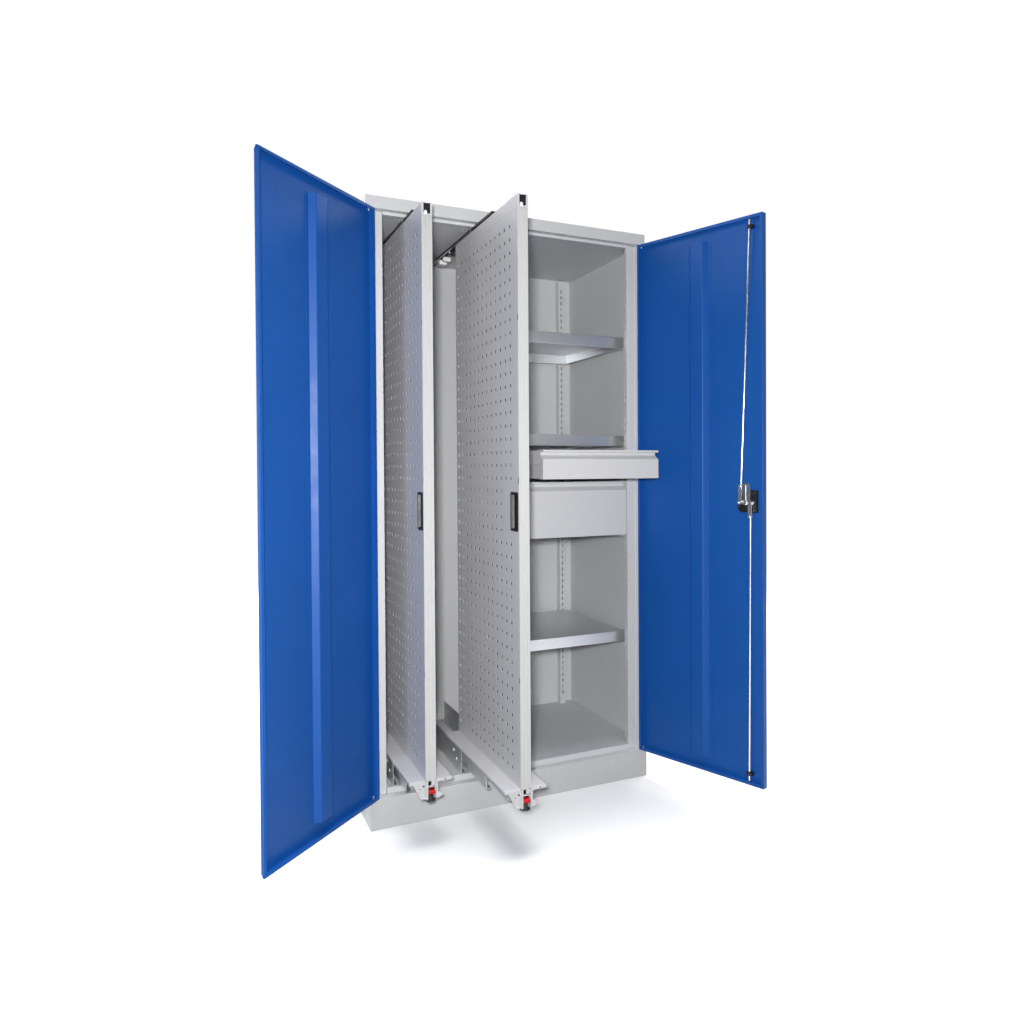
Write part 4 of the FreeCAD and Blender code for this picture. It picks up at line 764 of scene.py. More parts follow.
@dataclass
class Carcass:
    """Welded body of the cabinet with its posts and hinge pins."""

    body: str = "carcass"
    skin: float = 1.2
    post_floor: float = 114.0
    post_top: float = 1903.2
    slot_first: float = 154.0
    slot_pitch: float = 25.0
    slot_height: float = 14.0
    slot_width: float = 5.0
    post_front: float = -222.0
    post_back: float = -198.0
    wall: float = 498.5
    hinge_x: float = 489.0
    hinge_y: float = -295.5

    def slots(self, corner: float) -> list[tuple[float, float, float, float]]:
        """Return the ladder of slots, centred on a length along the strip."""
        holes = []
        level = self.slot_first
        while level + self.slot_height < self.post_top - 20:
            holes.append((corner - self.slot_width / 2, corner + self.slot_width / 2, level, level + self.slot_height))
            level += self.slot_pitch
        return holes

    def add_posts(self) -> None:
        """Build the four posts with their full ladders of slots."""
        work = Workpiece("posts_with_slots")
        base, face = 289.7, 261.7
        lines = [
            [(self.wall, self.post_front), (468.0, self.post_front), (468.0, self.post_back), (self.wall, self.post_back)],
            [(0.3, self.post_back), (20.0, self.post_back), (20.0, self.post_front), (0.3, self.post_front)],
            [(456.0, base), (456.0, face), (432.0, face), (432.0, base)][::-1],
            [(68.0, base), (68.0, face), (44.0, face), (44.0, base)][::-1],
        ]
        for line in lines:
            area = sum(a[0] * b[1] - b[0] * a[1] for a, b in zip(line, line[1:] + line[:1]))
            path = line if area > 0 else line[::-1]
            strip = FormedStrip(path, Axis.Z, self.post_floor, self.post_top, self.skin, 1.6)
            strip.add_to(work, lambda corners: self.slots((corners[1] + corners[2]) / 2))
        work.finish(Finish.CARCASS, self.body, ["slotted_posts"])

    def add_pins(self) -> None:
        """Build the pivot pins with their collars and domed heads."""
        work = Workpiece("pivot_pins")
        for x in (-self.hinge_x, self.hinge_x):
            work.turned([(1.6, 90.8), (2.6, 91.3), (3.0, 92.0), (3.0, 95.0), (4.2, 95.0), (4.2, 96.45), (3.0, 96.45),
                         (3.0, 103.6), (2.2, 105.0)], (x, self.hinge_y), Axis.Z, 24)
            work.turned([(2.2, 1902.0), (3.0, 1903.4), (3.0, 1914.2), (2.6, 1915.6), (1.6, 1916.2)],
                        (x, self.hinge_y), Axis.Z, 24)
        work.finish(Finish.ZINC, self.body, ["hinge_pins"])

    def add_fixings(self) -> None:
        """Build the blind rivets along the back."""
        work = Workpiece("back_rivets")
        for x in (-492.0, 492.0):
            for z in range(160, 1900, 215):
                work.screw((x, 298.6, float(z)), Axis.Y, 1.0, 3.2, 1.3)
        work.finish(Finish.ZINC, self.body)

    def dress(self) -> None:
        """Build every piece of the carcass."""
        for node in ("side_panel_left", "side_panel_right", "back_panel", "roof_panel", "floor_panel",
                     "plinth", "centre_partition"):
            folded_copy(node, Finish.CARCASS, self.body)
        self.add_posts()
        self.add_pins()
        self.add_fixings()


@dataclass
class Shelving:
    """Three galvanised shelves on clips."""

    body: str = "carcass"

    def dress(self) -> None:
        """Build the shelves and their clips."""
        for node in ("top_shelf", "middle_shelf", "lower_shelf"):
            folded_copy(node, Finish.GALVANISED, self.body, fold=1.8)
        folded_copy("shelf_clips", Finish.GALVANISED, self.body, fold=1.5, rim=0.4)


# Doors

@dataclass
class DoorLeaf:
    """One door: a folded pan with a stiffener down its middle."""

    side: str
    angle: float
    hinge_x: float
    hinge_y: float = -295.5

    @property
    def body(self) -> str:
        """Return the door's body."""
        return self.side + "_door"

    @property
    def place(self) -> Matrix:
        """Return the door's own frame: along it from the hinge line, inwards, and up."""
        turn = Matrix.Rotation(math.radians(self.angle), 4, "Z")
        shift = Matrix.Translation((self.hinge_x, self.hinge_y, 0.0))
        mirror = Matrix.Scale(1 if self.side == "left" else -1, 4, (1, 0, 0))
        return shift @ turn @ mirror

    def dress(self) -> None:
        """Build the door's pieces."""
        folded_copy(self.side + "_door_panel", Finish.DOOR, self.body, fold=1.8)
        folded_copy(self.side + "_door_stiffener", Finish.DOOR, self.body, fold=2.4, sheet=1.6)


@dataclass
class RodLock:
    """Espagnolette lock on the inside of the right door, with its knob outside."""

    door: DoorLeaf
    pivot: float = 422.0
    level: float = 1000.0
    skin_in: float = -3.3
    case_top: float = 9.0
    cam_low: float = 9.3
    cam_high: float = 12.3
    link_low: float = 12.6
    link_high: float = 15.6
    rod_depth: float = 8.8
    rod_radius: float = 3.5

    def add_case(self) -> None:
        """Build the case with its lid, boss and fixing screws."""
        work = Workpiece("lock_case_moulded", self.door.place)
        corners = [(402.0, 967.0), (460.0, 967.0), (460.0, 1040.0), (390.0, 1040.0), (390.0, 979.0)]
        outline = rounded(corners, [2.5, 3.0, 5.0, 5.0, 2.5], 5)
        centre = Vector((425.0, 1003.0))
        rings = []
        for depth, inset in ((self.skin_in, 0.0), (5.4, 0.6), (6.6, 1.6), (6.6, 3.0), (7.4, 3.4), (8.0, 4.2)):
            ring = []
            for point in outline:
                away = Vector(point) - centre
                scaled = centre + Vector((away.x * (1 - inset / 35.0), away.y * (1 - inset / 36.5)))
                ring.append((scaled.x, depth, scaled.y))
            rings.append(ring)
        work.lofted(rings)
        work.turned([(11.0, 7.9), (11.0, 8.5), (10.2, 8.95), (5.2, 8.95)], (self.pivot, self.level), Axis.Y, 32)
        work.soften(0.0, 0.3)
        work.finish(Finish.CASE, self.door.body, ["lock_case"])
        screws = Workpiece("lock_case_screws", self.door.place)
        for along, up in ((450.0, 1030.0), (398.0, 986.0), (451.0, 976.0)):
            screws.screw((along, 7.6, up), Axis.Y, 1.0, 3.4, 1.6)
        screws.finish(Finish.SCREW, self.door.body)

    def add_cam(self) -> None:
        """Build the cam with its arm, tongue, rib, round hub and two rivet heads."""
        work = Workpiece("lock_cam_forged", self.door.place)
        work.prism(stadium((self.pivot, self.level), 60.0, 14.0), Axis.Y, self.cam_low, self.cam_high)
        tongue = rounded([(415.0, 1001.0), (436.0, 1001.0), (436.0, 1062.0), (415.0, 1062.0)], [3, 3, 5, 3], 5)
        work.prism(tongue, Axis.Y, self.cam_low + 0.05, self.cam_high - 0.05)
        rib = rounded([(419.0, 1003.0), (424.0, 1003.0), (424.0, 1056.0), (419.0, 1056.0)], 1.5, 3)
        work.prism(rib, Axis.Y, self.cam_high - 0.2, self.cam_high + 1.6)
        work.soften(0.0, 0.5)
        work.turned([(9.0, 12.2), (9.0, 13.6), (8.0, 14.6), (5.6, 15.2), (5.2, 13.6), (0.4, 13.4)],
                    (self.pivot, self.level), Axis.Y, 28)
        for along in (399.0, 445.0):
            work.turned([(3.6, 12.2), (3.6, 16.4), (2.9, 17.2), (0.4, 17.4)],
                        (along, self.level), Axis.Y, 20)
        work.finish(Finish.BRIGHT, "handle", ["lock_cam"])

    def rod(self, name: str, node: str, body: str, foot: float, start: float, head: float, stop: float) -> None:
        """Build one rod with its flattened link and clamp.

        Args:
            name: The piece's name.
            node: The CAD node that it stands for.
            body: The body that it moves with.
            foot: Place along the door at the lock.
            start: Level at the lock.
            head: Place along the door at the far end.
            stop: Level at the far end.
        """
        work = Workpiece(name, self.door.place)
        sign = 1.0 if stop > start else -1.0
        low, high = sorted((self.level, start + sign * 13.0))
        link = rounded(box_outline(foot - 7, low, foot + 7, high), [6.9, 6.9, 3, 3] if sign > 0 else [3, 3, 6.9, 6.9], 6)
        work.prism(link, Axis.Y, self.link_low, self.link_high)
        near, far = sorted((start, start + sign * 13.0))
        work.prism(rounded(box_outline(foot - 7, near, foot + 7, far), 1.5, 3), Axis.Y, 5.4, self.link_low + 0.2)
        work.soften(0.0, 0.4)
        work.turned([(3.4, self.link_high - 0.1), (3.4, self.link_high + 1.0), (2.6, self.link_high + 1.7),
                     (0.3, self.link_high + 1.8)], (foot, start + sign * 7.0), Axis.Y, 18)
        work.tube((foot, self.rod_depth, start), (head, self.rod_depth, stop), self.rod_radius, 20, 0.8)
        work.finish(Finish.ROD, body, [node])

    def add_guides(self) -> None:
        """Build the moulded guides near the door's top and bottom."""
        work = Workpiece("rod_guides_moulded", self.door.place)
        for along, up in ((439.0, 1876.5), (433.0, 130.5)):
            outer = rounded([(along - 10, self.skin_in), (along + 10, self.skin_in), (along + 10, 17.8),
                             (along - 10, 17.8)], [0.5, 0.5, 8.5, 8.5], 6)
            rings = []
            for level, inset in ((up - 5, 0.5), (up - 4.5, 0.0), (up + 4.5, 0.0), (up + 5, 0.5)):
                ring = []
                for a, b in outer:
                    ring.append((along + (a - along) * (1 - inset / 10), b - (inset if b > 0 else 0), level))
                rings.append([work.mesh.verts.new(point) for point in ring])
            hole = []
            count = len(outer)
            for level in (up - 5, up + 5):
                ring = []
                for a, b in outer:
                    away = Vector((a - along, b - self.rod_depth))
                    spot = away.normalized() * 6.0
                    ring.append(work.mesh.verts.new((along + spot.x, self.rod_depth + spot.y, level)))
                hole.append(ring)
            work.ring_faces(rings, caps=False)
            for index in range(count):
                after = (index + 1) % count
                work.mesh.faces.new((hole[0][index], hole[0][after], hole[1][after], hole[1][index]))
                work.mesh.faces.new((rings[0][index], rings[0][after], hole[0][after], hole[0][index]))
                work.mesh.faces.new((rings[-1][index], rings[-1][after], hole[1][after], hole[1][index]))
        work.finish(Finish.BLACK, self.door.body, ["rod_guides"])

    def add_knob(self) -> None:
        """Build the turning knob, its spindle and the key barrel."""
        work = Workpiece("turning_knob", self.door.place)
        face = -4.8
        base = face - 8.0
        work.turned([(25.0, face), (26.0, face - 0.8), (26.0, face - 5.0), (24.6, face - 7.2), (21.0, base), (9.0, base - 0.6)],
                    (self.pivot, self.level), Axis.Y, 56)
        half = 32.0
        rings = []
        for depth, length, width in ((base + 0.4, half, 10.0), (base - 10, half - 1.0, 9.0), (base - 18, half - 2.0, 9.4),
                                     (base - 22.5, half - 3.2, 8.6), (base - 24, half - 5.4, 6.6)):
            outline = rounded(box_outline(self.pivot - length, self.level - width, self.pivot + length, self.level + width),
                              width * 0.86, 7)
            rings.append([(a, depth, b) for a, b in outline])
        work.lofted(rings)
        work.tube((self.pivot, face, self.level), (self.pivot, 12.0, self.level), 4.9, 20, 0.4)
        work.finish(Finish.BLACK, "handle", ["door_handle"])
        barrel = Workpiece("key_barrel", self.door.place)
        face = base - 25.2
        barrel.turned([(7.0, base - 20.0), (7.0, face + 0.5), (6.4, face), (4.6, face), (4.4, face + 0.4)],
                      (self.pivot, self.level), Axis.Y, 32)
        barrel.finish(Finish.BRIGHT, "barrel", ["lock_barrel"])
        # A dark insert in the barrel's face: painted shade of the key slot.
        slot = Workpiece("key_slot", self.door.place)
        slot.prism(rounded(box_outline(self.pivot - 0.8, self.level - 3.4, self.pivot + 0.8, self.level + 3.4), 0.5, 3),
                   Axis.Y, face + 0.15, face + 2.0)
        slot.finish(Finish.SCREW, "barrel")

    def dress(self) -> None:
        """Build every piece of the lock."""
        self.add_case()
        self.add_cam()
        self.rod("upper_rod_round", "upper_rod", "rod_up", 405.0, 1045.0, 439.0, 1909.5)
        self.rod("lower_rod_round", "lower_rod", "rod_down", 439.0, 963.0, 433.0, 97.5)
        self.add_guides()
        self.add_knob()


# Pull-outs

@dataclass
class PullOut:
    """One vertical pull-out: two perforated sheets on a telescopic carriage."""

    number: int
    middle: float
    travel: float
    face: float = -270.0
    tail: float = 270.0
    half: float = 16.0
    skin: float = 1.2
    low: float = 206.0
    high: float = 1845.0
    hole: float = 10.0
    raster: float = 38.0
    first_hole: float = 60.0
    columns: int = 13
    rows: int = 42
    top_margin: float = 39.0
    grip_y: float = -263.5
    grip_z: float = 933.0
    grip_wide: float = 56.0
    grip_tall: float = 112.0
    closed_columns: int = 2
    closed_rows: tuple[int, int] = (20, 23)
    channel_half: float = 29.0
    channel_low: float = 152.0
    channel_top: float = 204.5
    foot_front: float = -268.5
    foot_back: float = -208.5
    glides: tuple[float, float] = (-20.0, 210.0)
    slot_levels: tuple[float, float, float] = (513.0, 1079.0, 1536.0)

    @property
    def name(self) -> str:
        """Return the pull-out's body."""
        return "pullout_%d" % self.number

    def place(self, share: float = 1.0) -> Matrix:
        """Return the frame of a part that is drawn out by a share of the travel."""
        return Matrix.Translation((self.middle, -self.travel * share, 0.0))

    def sheet_holes(self, corners: list[float]) -> list[tuple[float, float, float, float]]:
        """Return the raster of square holes and the grip's opening."""
        start = self.face + 5.0
        holes = []
        for column in range(self.columns):
            middle = self.face + self.first_hole + self.raster * column - start
            for row in range(self.rows):
                if column < self.closed_columns and self.closed_rows[0] <= row <= self.closed_rows[1]:
                    continue
                up = self.high - self.top_margin - self.raster * row
                holes.append((middle - self.hole / 2, middle + self.hole / 2, up - self.hole / 2, up + self.hole / 2))
        near = self.grip_y + 3.0 - start
        holes.append((near, near + self.grip_wide - 6.0, self.grip_z + 3.0, self.grip_z + self.grip_tall - 3.0))
        return holes

    def add_sheets(self) -> None:
        """Build both perforated sheets, with their inner faces in a dark coat: painted shade seen through the holes."""
        start, stop = self.face + 5.0, self.tail - 5.0
        for side, sign in (("left", -1.0), ("right", 1.0)):
            node = "%s_%s_sheet" % (self.name, side)
            work = Workpiece(node + "_perforated", self.place())
            outer = sign * self.half
            line = [(outer, start), (outer, stop)]
            sheet = self.skin * sign * 1.0
            strip = FormedStrip(line, Axis.Z, self.low, self.high, sheet, inside=1)
            strip.add_to(work, self.sheet_holes)
            work.finish(Finish.PULLOUT, self.name, [node], Finish.INSIDE)

    def add_grips(self) -> None:
        """Build the two moulded finger cups."""
        work = Workpiece(self.name + "_finger_cups", self.place())
        y = self.grip_y + self.grip_wide / 2
        z = self.grip_z + self.grip_tall / 2
        levels = [
            (4.6, 4.3, 25.0, 53.0, 4.0), (15.9, 3.1, 25.0, 53.0, 4.0), (16.0, 0.0, 28.0, 56.0, 6.0),
            (16.7, 0.0, 28.0, 56.0, 6.0), (17.15, 0.7, 28.0, 56.0, 6.0), (17.2, 2.6, 28.0, 56.0, 6.0),
            (16.6, 4.2, 28.0, 56.0, 6.0), (14.0, 5.0, 28.0, 56.0, 6.0), (8.0, 6.4, 28.0, 56.0, 6.0),
            (6.2, 8.6, 28.0, 56.0, 6.0), (5.9, 12.0, 28.0, 56.0, 6.0),
        ]
        for sign in (-1.0, 1.0):
            rings = []
            for depth, inset, wide, tall, radius in levels:
                cut = inset if inset > 3.05 or depth > 15.95 else inset
                half_wide = 28.0 - cut
                half_tall = 56.0 - cut
                outline = rounded(box_outline(y - half_wide, z - half_tall, y + half_wide, z + half_tall),
                                  max(radius - inset * 0.35, 2.5), 5)
                rings.append([(sign * depth, a, b) for a, b in outline])
            work.lofted(rings)
        work.finish(Finish.BLACK, self.name, [self.name + "_grips"])

    def add_tray(self) -> None:
        """Build the tray with folded edges and a front lip that makes room for the foot."""
        work = Workpiece(self.name + "_tray_folded", self.place())
        strip = FormedStrip([(65.0, 197.0), (65.0, 206.0), (-65.0, 206.0), (-65.0, 197.0)], Axis.Y,
                            self.face + 1.5, self.tail - 1.5, 1.5, 1.8)
        strip.add_to(work, no_openings)
        for left, right in ((-63.4, -16.3), (16.3, 63.4)):
            work.prism(box_outline(left, 197.0, right, 205.6), Axis.Y, self.face, self.face + 1.5)
        work.prism(box_outline(-63.4, 197.0, 63.4, 205.6), Axis.Y, self.tail - 1.5, self.tail)
        work.soften(0.0, 0.3)
        work.finish(Finish.PULLOUT, self.name, [self.name + "_tray"])
        # A dark disc on the tray's front lip: painted shade of a hole there.
        hole = Workpiece(self.name + "_tray_rivet", self.place())
        hole.screw((44.0, self.face - 0.05, 201.4), Axis.Y, -1.0, 2.2, 0.5)
        hole.finish(Finish.SCREW, self.name)

    def add_carriage(self) -> None:
        """Build the carriage: a lipped channel with glides, and in front a foot with a gusset and a tab."""
        work = Workpiece(self.name + "_carriage_folded", self.place())
        low, high, half = self.channel_low, self.channel_top, self.channel_half
        line = [(half - 12, low), (half, low), (half, high), (-half, high), (-half, low), (12 - half, low)]
        strip = FormedStrip(line, Axis.Y, self.foot_back, self.tail - 1.5, 2.0, 2.6)
        strip.add_to(work, no_openings)
        work.prism(box_outline(-half, high - 2, half, high), Axis.Y, self.foot_front, self.foot_back)
        side = [(self.foot_front, 149.0), (-240.0, 149.0), (-226.0, low), (self.foot_back, low),
                (self.foot_back, high), (self.foot_front, high)]
        for left in (-self.half, self.half - 1.5):
            work.prism(side, Axis.X, left, left + 1.5)
        back = self.foot_front + 2.0
        gusset = [(-57.0, high), (-8.2, high), (-8.2, 147.0), (-12.6, 147.0), (-15.0, 153.0), (-30.5, 153.0)]
        work.prism(gusset, Axis.Y, self.foot_front, back)
        work.prism(box_outline(12.4, 160.0, 22.0, high), Axis.Y, self.foot_front, back)
        tab = [(14.6, 160.0), (24.0, 168.0), (29.0, 166.9), (38.0, 156.3), (23.6, 148.7), (14.6, 152.0)]
        work.prism(rounded(tab, 1.0, 2), Axis.Y, self.foot_front - 0.4, back - 0.4)
        work.prism(box_outline(2.4, 188.5, 12.6, high), Axis.Y, back + 0.4, back + 2.0)
        work.soften(0.0, 0.3)
        for left, right, foot in ((-12.6, -8.2, 147.2), (17.6, 21.8, 160.2)):
            work.prism(rounded(box_outline(left, foot, right, high - 0.4), 1.4, 3), Axis.Y,
                       self.foot_front - 1.3, self.foot_front + 0.2)
        work.prism(box_outline(-30.0, 153.2, -13.4, 154.9), Axis.Y, self.foot_front - 3.0, self.foot_front + 0.2)
        glide = [(29.0, 159.8), (41.2, 159.8), (41.2, 135.8), (31.8, 135.8), (31.8, 145.0), (29.0, 145.0)]
        for start in self.glides:
            for sign in (-1.0, 1.0):
                work.prism([(sign * a, b) for a, b in glide], Axis.Y, start, start + 40.0)
        for y, z in ((-254.0, 186.0), (-230.0, 158.0)):
            work.tube((1.0 - self.half, y, z), (self.half - 1.0, y, z), 4.0, 20, 0.2)
        work.finish(Finish.PULLOUT, self.name, [self.name + "_carriage"])

    def add_foot(self) -> None:
        """Build the screws of the foot, its latch bolt and the rubber stop under it."""
        screws = Workpiece(self.name + "_foot_screws", self.place())
        for across, up, radius in ((-21.6, 190.0, 2.9), (-32.2, 183.0, 1.6), (-36.0, 176.0, 1.0)):
            screws.screw((across, self.foot_front, up), Axis.Y, -1.0, radius, 1.3)
        for y in (-258.0, -236.0):
            for sign in (-1.0, 1.0):
                screws.screw((sign * 16.0, y, 196.0), Axis.X, sign, 2.4, 1.2)
        screws.finish(Finish.BLACK, self.name)
        bolt = Workpiece(self.name + "_latch_bolt", self.place())
        bolt.tube((-8.0, self.foot_front - 0.2, 187.0), (12.6, self.foot_front - 0.2, 187.0), 2.9, 18, 0.6)
        bolt.tube((-18.6, self.foot_front - 0.9, 190.0), (-13.0, self.foot_front - 0.9, 190.0), 1.9, 14, 0.8)
        bolt.finish(Finish.BRIGHT, self.name)
        stop = Workpiece(self.name + "_rubber_stop", self.place())
        stop.turned([(13.0, 143.4), (14.6, 144.0), (15.0, 145.6), (14.2, 147.6), (10.2, 150.6), (8.4, 154.0),
                     (7.8, 159.0), (7.0, 160.0)], (0.0, -262.5), Axis.Z, 40)
        stop.finish(Finish.RUBBER, self.name)

    def add_pedal(self) -> None:
        """Build the red pedal on its dark arm, and the roller behind it."""
        work = Workpiece(self.name + "_red_pedal", self.place())
        tread = rounded([(-276.5, 165.5), (-262.0, 164.0), (-262.0, 177.5), (-273.0, 176.0), (-276.5, 173.5)],
                        [2.0, 1.0, 1.0, 2.2, 2.2], 5)
        work.prism(tread, Axis.X, -7.6, 11.8)
        work.soften(0.0, 0.8)
        for step in range(2):
            level = 167.8 + step * 2.6
            work.prism(rounded(box_outline(-277.0, level, -275.8, level + 1.0), 0.3, 2), Axis.X, -5.8, 10.0)
        work.finish(Finish.RED, self.name + "_pedal", [self.name + "_latch"])
        arm = Workpiece(self.name + "_pedal_arm", self.place())
        side = [(-262.5, 164.0), (-250.0, 164.5), (-247.0, 178.0), (-247.0, 192.2), (-261.0, 192.2), (-261.0, 180.0)]
        arm.prism(rounded(side, [1.5, 3.0, 3.0, 4.0, 4.0, 1.0], 4), Axis.X, -7.2, 11.4)
        arm.soften(0.0, 0.5)
        arm.finish(Finish.BLACK, self.name + "_pedal")
        wheel = Workpiece(self.name + "_rubber_roller", self.place())
        centre = (-230.0, 158.0)
        wheel.turned([(4.1, -12.0), (7.2, -12.0), (7.6, -10.6), (10.4, -10.6), (10.9, -12.0), (12.2, -12.0), (13.0, -11.0),
                      (13.0, 11.0), (12.2, 12.0), (10.9, 12.0), (10.4, 10.6), (7.6, 10.6), (7.2, 12.0), (4.1, 12.0)],
                     centre, Axis.X, 44)
        wheel.finish(Finish.RUBBER, self.name + "_wheel", [self.name + "_roller"])

    def add_head(self) -> None:
        """Build the frame on the channel's front end, the black block behind it as painted shade of the channel's
        hollow, the white catch, the side tabs and dark patches of painted shade for the upright's slots.
        """
        low, high, half, inner = self.high, self.high + 38.0, self.half, 10.0
        frame_piece = Workpiece(self.name + "_channel_frame", self.place())
        outline = rounded([(-half, high), (-half, low + 0.4), (half, low + 0.4), (half, high - 2.0), (inner, high - 1.0),
                           (inner, low + 5.4), (-inner, low + 5.4), (-inner, high)],
                          [0.6, 2.0, 2.0, 2.6, 2.0, 3.4, 3.4, 0.6], 4)
        frame_piece.prism(outline, Axis.Y, self.face - 1.2, self.face + 0.4)
        frame_piece.soften(0.0, 0.3)
        for y, z in ((256.0, 1863.0), (113.0, 1849.0)):
            frame_piece.prism(rounded(box_outline(y - 3.0, z - 6.0, y + 3.0, z + 6.0), 1.0, 3), Axis.X, -half - 0.7, -half + 0.2)
        frame_piece.finish(Finish.PULLOUT, self.name)
        catch = Workpiece(self.name + "_channel_catch", self.place())
        outline = rounded(box_outline(-8.4, low + 2.6, 0.4, low + 14.5), [0.5, 0.5, 4.2, 4.2], 6)
        catch.prism(outline, Axis.Y, self.face - 1.6, self.face + 0.6)
        catch.soften(0.0, 0.3)
        catch.finish(Finish.WHITE, self.name)
        # A black block filling the channel behind the frame: painted shade of the channel's hollow.
        shade_block = Workpiece(self.name + "_channel_buffer", self.place())
        shade_block.prism(rounded(box_outline(1.6 - half, low + 1.6, half - 1.6, high - 1.7), 1.5, 3), Axis.Y,
                     self.face + 0.5, self.face + 11.0)
        shade_block.soften(0.0, 0.4)
        shade_block.finish(Finish.BLACK, self.name)
        # Dark patches on both sides of the upright: painted shade of its slots.
        slots = Workpiece(self.name + "_upright_slots", self.place())
        for level in self.slot_levels:
            for sign in (-1.0, 1.0):
                left = sign * half
                slots.prism(rounded(box_outline(self.face + 1.0, level - 9.0, self.face + 4.6, level + 9.0), 1.5, 3),
                            Axis.X, min(left, left + sign * 0.35), max(left, left + sign * 0.35))
        slots.finish(Finish.SCREW, self.name)

    def add_slide(self) -> None:
        """Build the middle member of the upper slide with white guide pieces and its end loop; the two white pieces
        towards the back stand for highlights on the zinc slide, as painted highlight.
        """
        body = self.name + "_middle"
        member = Workpiece(self.name + "_slide_member", self.place(0.5))
        front = self.face + 12.0
        right = [(4.0, 1880.0), (4.0, 1890.5), (12.0, 1890.5), (12.0, 1898.5)]
        outline = right + [(-a, b) for a, b in reversed(right)]
        member.prism(outline, Axis.Y, front, self.tail)
        member.prism(box_outline(-9.0, 1868.0, 9.0, 1880.5), Axis.Y, front, 142.0)
        member.soften(0.0, 0.5)
        member.finish(Finish.SCREW, body, [self.name + "_top_slide"])
        # White guide pieces; the two towards the back sit where the zinc slide shows highlights, so they are partly
        # painted highlight.
        guides_and_highlights = Workpiece(self.name + "_slide_blocks", self.place(0.5))
        shape = rounded(box_outline(-13.8, 1865.4, 13.8, 1880.6), 2.6, 4)
        for start, stop in ((front, front + 14.0), (-190.0, -176.0), (215.0, 229.0), (262.0, 289.0)):
            guides_and_highlights.prism(shape, Axis.Y, start, stop)
        guides_and_highlights.soften(0.0, 0.5)
        guides_and_highlights.prism(rounded(box_outline(-6.4, 1882.0, 6.4, 1889.0), 1.0, 3), Axis.Y, 172.0, 175.0)
        guides_and_highlights.finish(Finish.WHITE, body)
        loop = Workpiece(self.name + "_slide_loop", self.place(0.5))
        loop.prism(stadium((-1.0, 1873.5), 23.0, 14.4), Axis.Y, 136.5, 143.0)
        loop.soften(0.0, 0.5)
        loop.finish(Finish.BLACK, body)
        ring = Workpiece(self.name + "_slide_ring", self.place(0.5))
        ring.prism(stadium((-1.0, 1873.5), 17.0, 8.2), Axis.Y, 135.6, 137.0)
        ring.soften(0.0, 0.5)
        ring.finish(Finish.ZINC, body)

    def dress(self) -> None:
        """Build every piece of the pull-out."""
        for part in ("front_profile", "rear_profile"):
            folded_copy("%s_%s" % (self.name, part), Finish.UPRIGHT, self.name, fold=0.0, rim=0.45)
        folded_copy(self.name + "_top_channel", Finish.PULLOUT, self.name, fold=1.8)
        folded_copy(self.name + "_middle_rails", Finish.ZINC, self.name + "_middle", fold=1.5, cut_back=5.5)
        self.add_sheets()
        self.add_grips()
        self.add_tray()
        self.add_carriage()
        self.add_foot()
        self.add_pedal()
        self.add_head()
        self.add_slide()


@dataclass
class GuideRails:
    """Rails on the floor and under the roof that carry the pull-outs."""

    body: str = "carcass"
    middles: tuple[float, float] = (-364.0, -138.0)
    front: float = -268.0
    floor: float = 114.0

    def dress(self) -> None:
        """Build the rails, the small rollers at their front ends, and black strips along the roof rails' sides as
        painted shade.
        """
        folded_copy("floor_guide_rails", Finish.ZINC, self.body, fold=1.6)
        folded_copy("roof_guide_rails", Finish.ZINC, self.body, fold=1.0)
        work = Workpiece("rail_rollers")
        for middle in self.middles:
            for sign in (-1.0, 1.0):
                x = middle + sign * 57.5
                for y, z in ((-222.0, 148.0), (-194.0, 170.0)):
                    work.screw((x, y, z), Axis.X, sign, 5.0, 2.0, False)
        work.finish(Finish.WHITE, self.body)
        # Thin black strips on the sides of the roof rails: painted shade of the rails' sides.
        shade_strip = Workpiece("roof_rail_races")
        for middle in self.middles:
            for left, right in ((-14.5, -13.9), (13.9, 14.5)):
                shade_strip.prism(box_outline(middle + left, 1888.8, middle + right, 1895.6), Axis.Y, -269.6, 112.0)
        shade_strip.finish(Finish.BLACK, self.body)


# Drawers

@dataclass
class Drawer:
    """One drawer with a folded front and its middle runner members."""

    number: int
    travel: float
    bottom: float
    height: float

    @property
    def name(self) -> str:
        """Return the drawer's body."""
        return "drawer_%d" % self.number

    def dress(self) -> None:
        """Build the drawer's pieces."""
        folded_copy(self.name + "_front", Finish.DRAWER, self.name, fold=1.8, sheet=1.6)
        folded_copy(self.name + "_box", Finish.DRAWER, self.name, fold=1.6)
        folded_copy(self.name + "_middle_runners", Finish.ZINC, self.name + "_middle", fold=1.4)


@dataclass
class DrawerBay:
    """Cheeks between the posts and the fixed runner members on them."""

    body: str = "carcass"

    def dress(self) -> None:
        """Build the cheeks and runners."""
        folded_copy("drawer_cheeks", Finish.CARCASS, self.body, fold=1.4)
        folded_copy("drawer_runners_fixed", Finish.ZINC, self.body, fold=1.4)


# Studio

